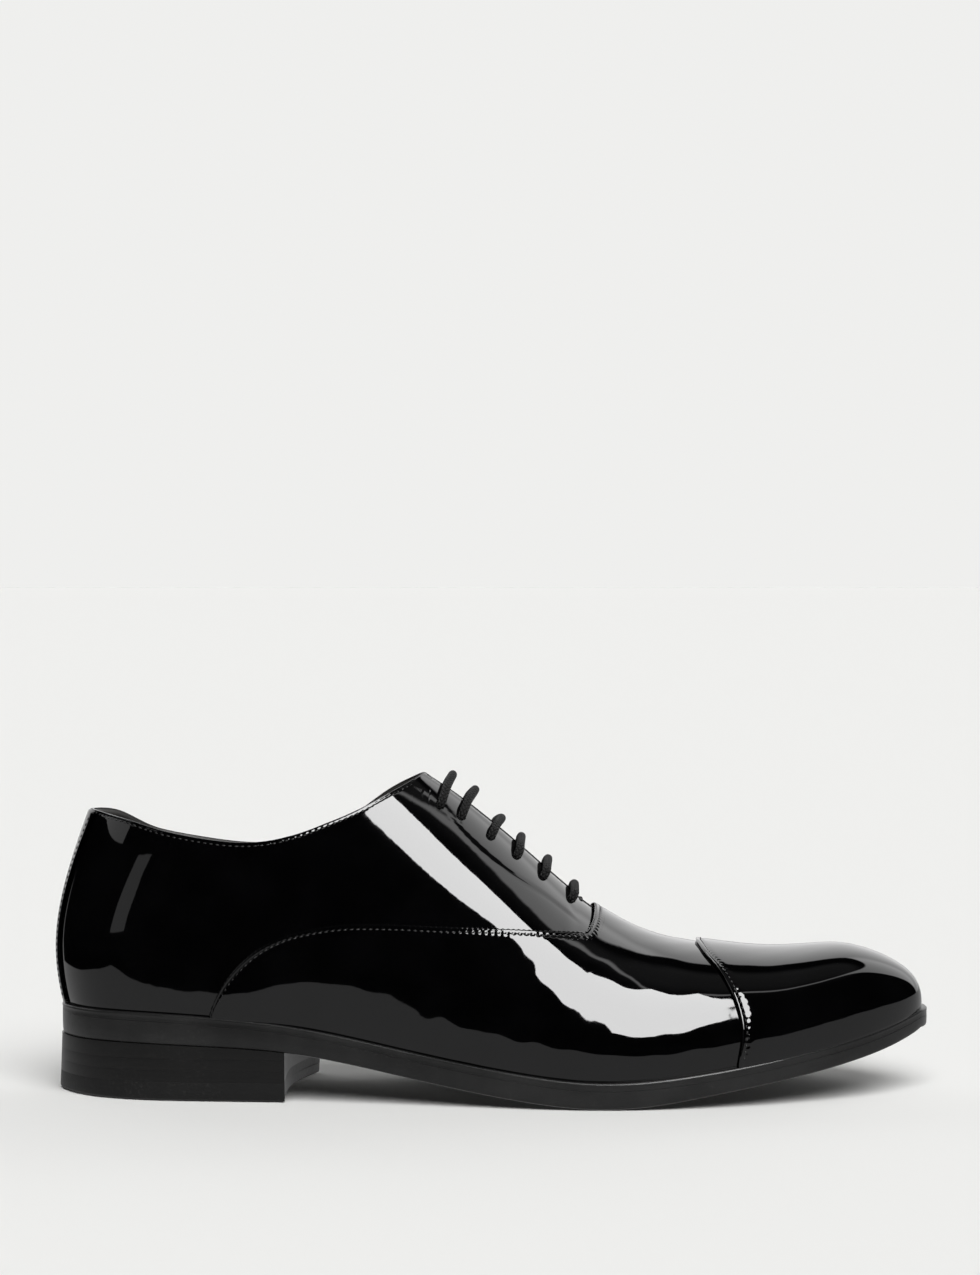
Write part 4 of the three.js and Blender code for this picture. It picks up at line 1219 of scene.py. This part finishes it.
def vampRow(inset, fromX):
    lines = []
    for side in (-1, 1):
        v = stationAt(seamX(fromX, 300, 60))
        s = side * seamSpan(v)
        lines.append(besideEdge(v, s, inset, vamp["lift"] - stitch["seamSink"], side))
    return lines


stitchRow("vamp_seam_stitches", vampRow(1.6, -95.0) + vampRow(3.6, 24.0))
capS = np.linspace(-0.97, 0.97, 240)
stitchRow("toe_cap_stitches", [besideEdge(capStation(capS), capS, 1.6,
                                         toeCap["lift"] - stitch["capSink"], -1)])


def stripRow(side):
    f = np.linspace(0.02, 0.97, 120)[:, None]
    half = backStrip["half"] + backStrip["flare"] * (2 * f - 1) ** 2
    v, s = stripPoint(backStrip, f, side * (half - 1.6))
    return raised(v[:, 0], s[:, 0], backStrip["lift"]), outward(v[:, 0], s[:, 0])


stitchRow("back_strip_stitches", [stripRow(side) for side in (-1, 1)])
print("stitch rows sewn")


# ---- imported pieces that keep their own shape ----
keptFinish = {"vamp_lining": "liningLeather", "toe_puff": "stiffenerSheet",
              "heel_counter": "stiffenerSheet", "insole_board": "insoleBoard",
              "cork_filler": "corkMix", "shank": "steelBar", "lace_tip_1": "laceTip",
              "lace_tip_2": "laceTip"}
for name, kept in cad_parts.items():
    finish = "blackenedMetal" if name.startswith("eyelet_") else keptFinish.get(name)
    if finish:
        kept.data.materials.clear()
        kept.data.materials.append(materials[finish])
print("packed pieces finished")


# ---- floor, soft lights and surroundings ----
studio = {"floorSize": 40.0, "floorTone": (0.8, 0.8, 0.786), "backTone": (0.863, 0.863, 0.851),
          "sun": 3.32, "sunFrom": (14, 52), "sunSpread": 50, "room": 0.003, "paper": 1.35,
          "paperGain": 1.0, "paperGlow": 0.53, "overhead": 0.12}


def stagePlane(name, size, height, shader, colour, strength=None):
    bpy.ops.object.select_all(action="DESELECT")
    bpy.ops.mesh.primitive_plane_add(size=size, location=(0, 0, height))
    piece = bpy.context.object
    piece.name = name
    made = bpy.data.materials.new(name)
    made.use_nodes = True
    tree = made.node_tree
    tree.nodes.clear()
    out = node(tree, "ShaderNodeOutputMaterial")
    paint = node(tree, shader)
    paint.inputs["Color"].default_value = (*colour, 1)
    if strength is not None:
        paint.inputs["Strength"].default_value = strength
    tree.links.new(paint.outputs[0], out.inputs["Surface"])
    piece.data.materials.append(made)
    return piece


def reshaped(piece, corners, faces=None):
    mesh = piece.data
    material = mesh.materials[0]
    mesh.clear_geometry()
    mesh.from_pydata([tuple(corner) for corner in corners], [],
                     faces or [tuple(range(len(corners)))])
    mesh.update()
    if not mesh.materials:
        mesh.materials.append(material)


def towards(azimuth, elevation, distance):
    az, el = math.radians(azimuth), math.radians(elevation)
    return Vector((math.sin(az) * math.cos(el), -math.cos(az) * math.cos(el),
                   math.sin(el))) * distance


def reflectedOnly(piece):
    piece.visible_camera = False
    piece.visible_diffuse = False
    piece.visible_shadow = False


# a curved light panel: a height with its left and right limits for each corner pair, in degrees
def softPanel(name, bands, strength, distance=3.0):
    panel = stagePlane(name, 1.0, 0.0, "ShaderNodeEmission", (1, 1, 1), strength)
    heights, left, right = np.array(bands, float).T
    up = np.linspace(heights[0], heights[-1], 48)
    share = np.linspace(0, 1, 12)
    lefts, rights = np.interp(up, heights, left), np.interp(up, heights, right)
    corners = [towards(a + (b - a) * f, el, distance)
               for el, a, b in zip(up, lefts, rights) for f in share]
    wide = len(share)
    faces = [(k, k + 1, k + 1 + wide, k + wide)
             for k in range((len(up) - 1) * wide) if (k + 1) % wide]
    reshaped(panel, corners, faces)
    reflectedOnly(panel)


floor = stagePlane("studio_floor", studio["floorSize"], -0.0004, "ShaderNodeBsdfDiffuse",
                   studio["floorTone"])
floor.visible_glossy = False
paper = stagePlane("studio_paper", 1.0, -0.0006, "ShaderNodeEmission", (1, 1, 1),
                   studio["paperGlow"])
paperCorners = [(-0.36, -0.2), (0.1, -0.2), (4, -5), (20, -5), (20, 20), (-20, 20), (-0.36, 0.2)]
reshaped(paper, [(x, y, -0.0002) for x, y in paperCorners])
reflectedOnly(paper)

softPanel("key_softbox", [(14, 7, 14), (30, 6, 34), (46, 14, 39), (70, 14, 56)], 17.0)
softPanel("side_strip", [(0, -56, -44), (19, -44, -34)], 0.55)
softPanel("rear_strip", [(23, -120, -66), (44, -120, -66)], 0.8)
softPanel("rear_softbox", [(35, -165, -126), (58, -165, -126)], 4.0)

sunFrom = towards(*studio["sunFrom"], 1)
bpy.ops.object.light_add(type="SUN", rotation=sunFrom.to_track_quat("Z", "Y").to_euler())
sun = bpy.context.object
sun.name = "broad_daylight"
sun.data.energy = studio["sun"]
sun.data.angle = math.radians(studio["sunSpread"])
sun.visible_glossy = False


# where the reflected surroundings change: slopes mix the parts of a direction, pairs are soft edges
surroundings = {"toeSlopeX": -0.78, "toeSlopeZ": 0.5, "toeSide": (-0.02, 0.03),
                "heelSlope": 0.9, "heelSide": (0.0, 0.1), "lowSlope": 0.31, "low": (0.895, 0.875),
                "bright": (0.8, 1.0), "ceilingHeight": (0.78, 0.88), "ceilingDepth": (-0.35, 0.1)}


def makeSurroundings(q, edges):
    world = bpy.data.worlds.new("studioSurroundings")
    scene.world = world
    world.use_nodes = True
    tree = world.node_tree
    tree.nodes.clear()
    out = node(tree, "ShaderNodeOutputWorld")
    where = node(tree, "ShaderNodeTexCoord")
    parts = node(tree, "ShaderNodeSeparateXYZ")
    tree.links.new(where.outputs["Generated"], parts.inputs[0])
    x, y, z = parts.outputs
    front = mathNode(tree, "MULTIPLY_ADD", x, edges["toeSlopeX"], y)
    toeward = mathNode(tree, "MULTIPLY_ADD", z, edges["toeSlopeZ"], front)
    toeSide = ramp(tree, toeward, *edges["toeSide"])
    heelward = mathNode(tree, "MULTIPLY_ADD", x, edges["heelSlope"], y)
    heelSide = ramp(tree, heelward, *edges["heelSide"])
    behind = mathNode(tree, "MINIMUM", toeSide, heelSide)
    low = ramp(tree, mathNode(tree, "MULTIPLY_ADD", y, edges["lowSlope"], z), *edges["low"])
    bright = ramp(tree, mathNode(tree, "ADD", x, z), *edges["bright"])
    paper = mathNode(tree, "MULTIPLY_ADD", bright, q["paperGain"], q["paper"])
    paperGlow = mathNode(tree, "MULTIPLY", mathNode(tree, "MULTIPLY", behind, low), paper)
    ceiling = mathNode(tree, "MULTIPLY", ramp(tree, z, *edges["ceilingHeight"]),
                       ramp(tree, y, *edges["ceilingDepth"]))
    glow = mathNode(tree, "MULTIPLY_ADD", ceiling, q["overhead"], paperGlow)
    glow = mathNode(tree, "ADD", glow, q["room"])
    rays = node(tree, "ShaderNodeLightPath")
    room = node(tree, "ShaderNodeBackground")
    tree.links.new(glow, room.inputs["Strength"])
    seen = node(tree, "ShaderNodeBackground")
    seen.inputs["Color"].default_value = (*q["backTone"], 1)
    blend = node(tree, "ShaderNodeMixShader")
    tree.links.new(rays.outputs["Is Camera Ray"], blend.inputs["Fac"])
    tree.links.new(room.outputs[0], blend.inputs[1])
    tree.links.new(seen.outputs[0], blend.inputs[2])
    tree.links.new(blend.outputs[0], out.inputs["Surface"])


makeSurroundings(studio, surroundings)
scene.view_settings.view_transform = "Standard"
print("studio set")
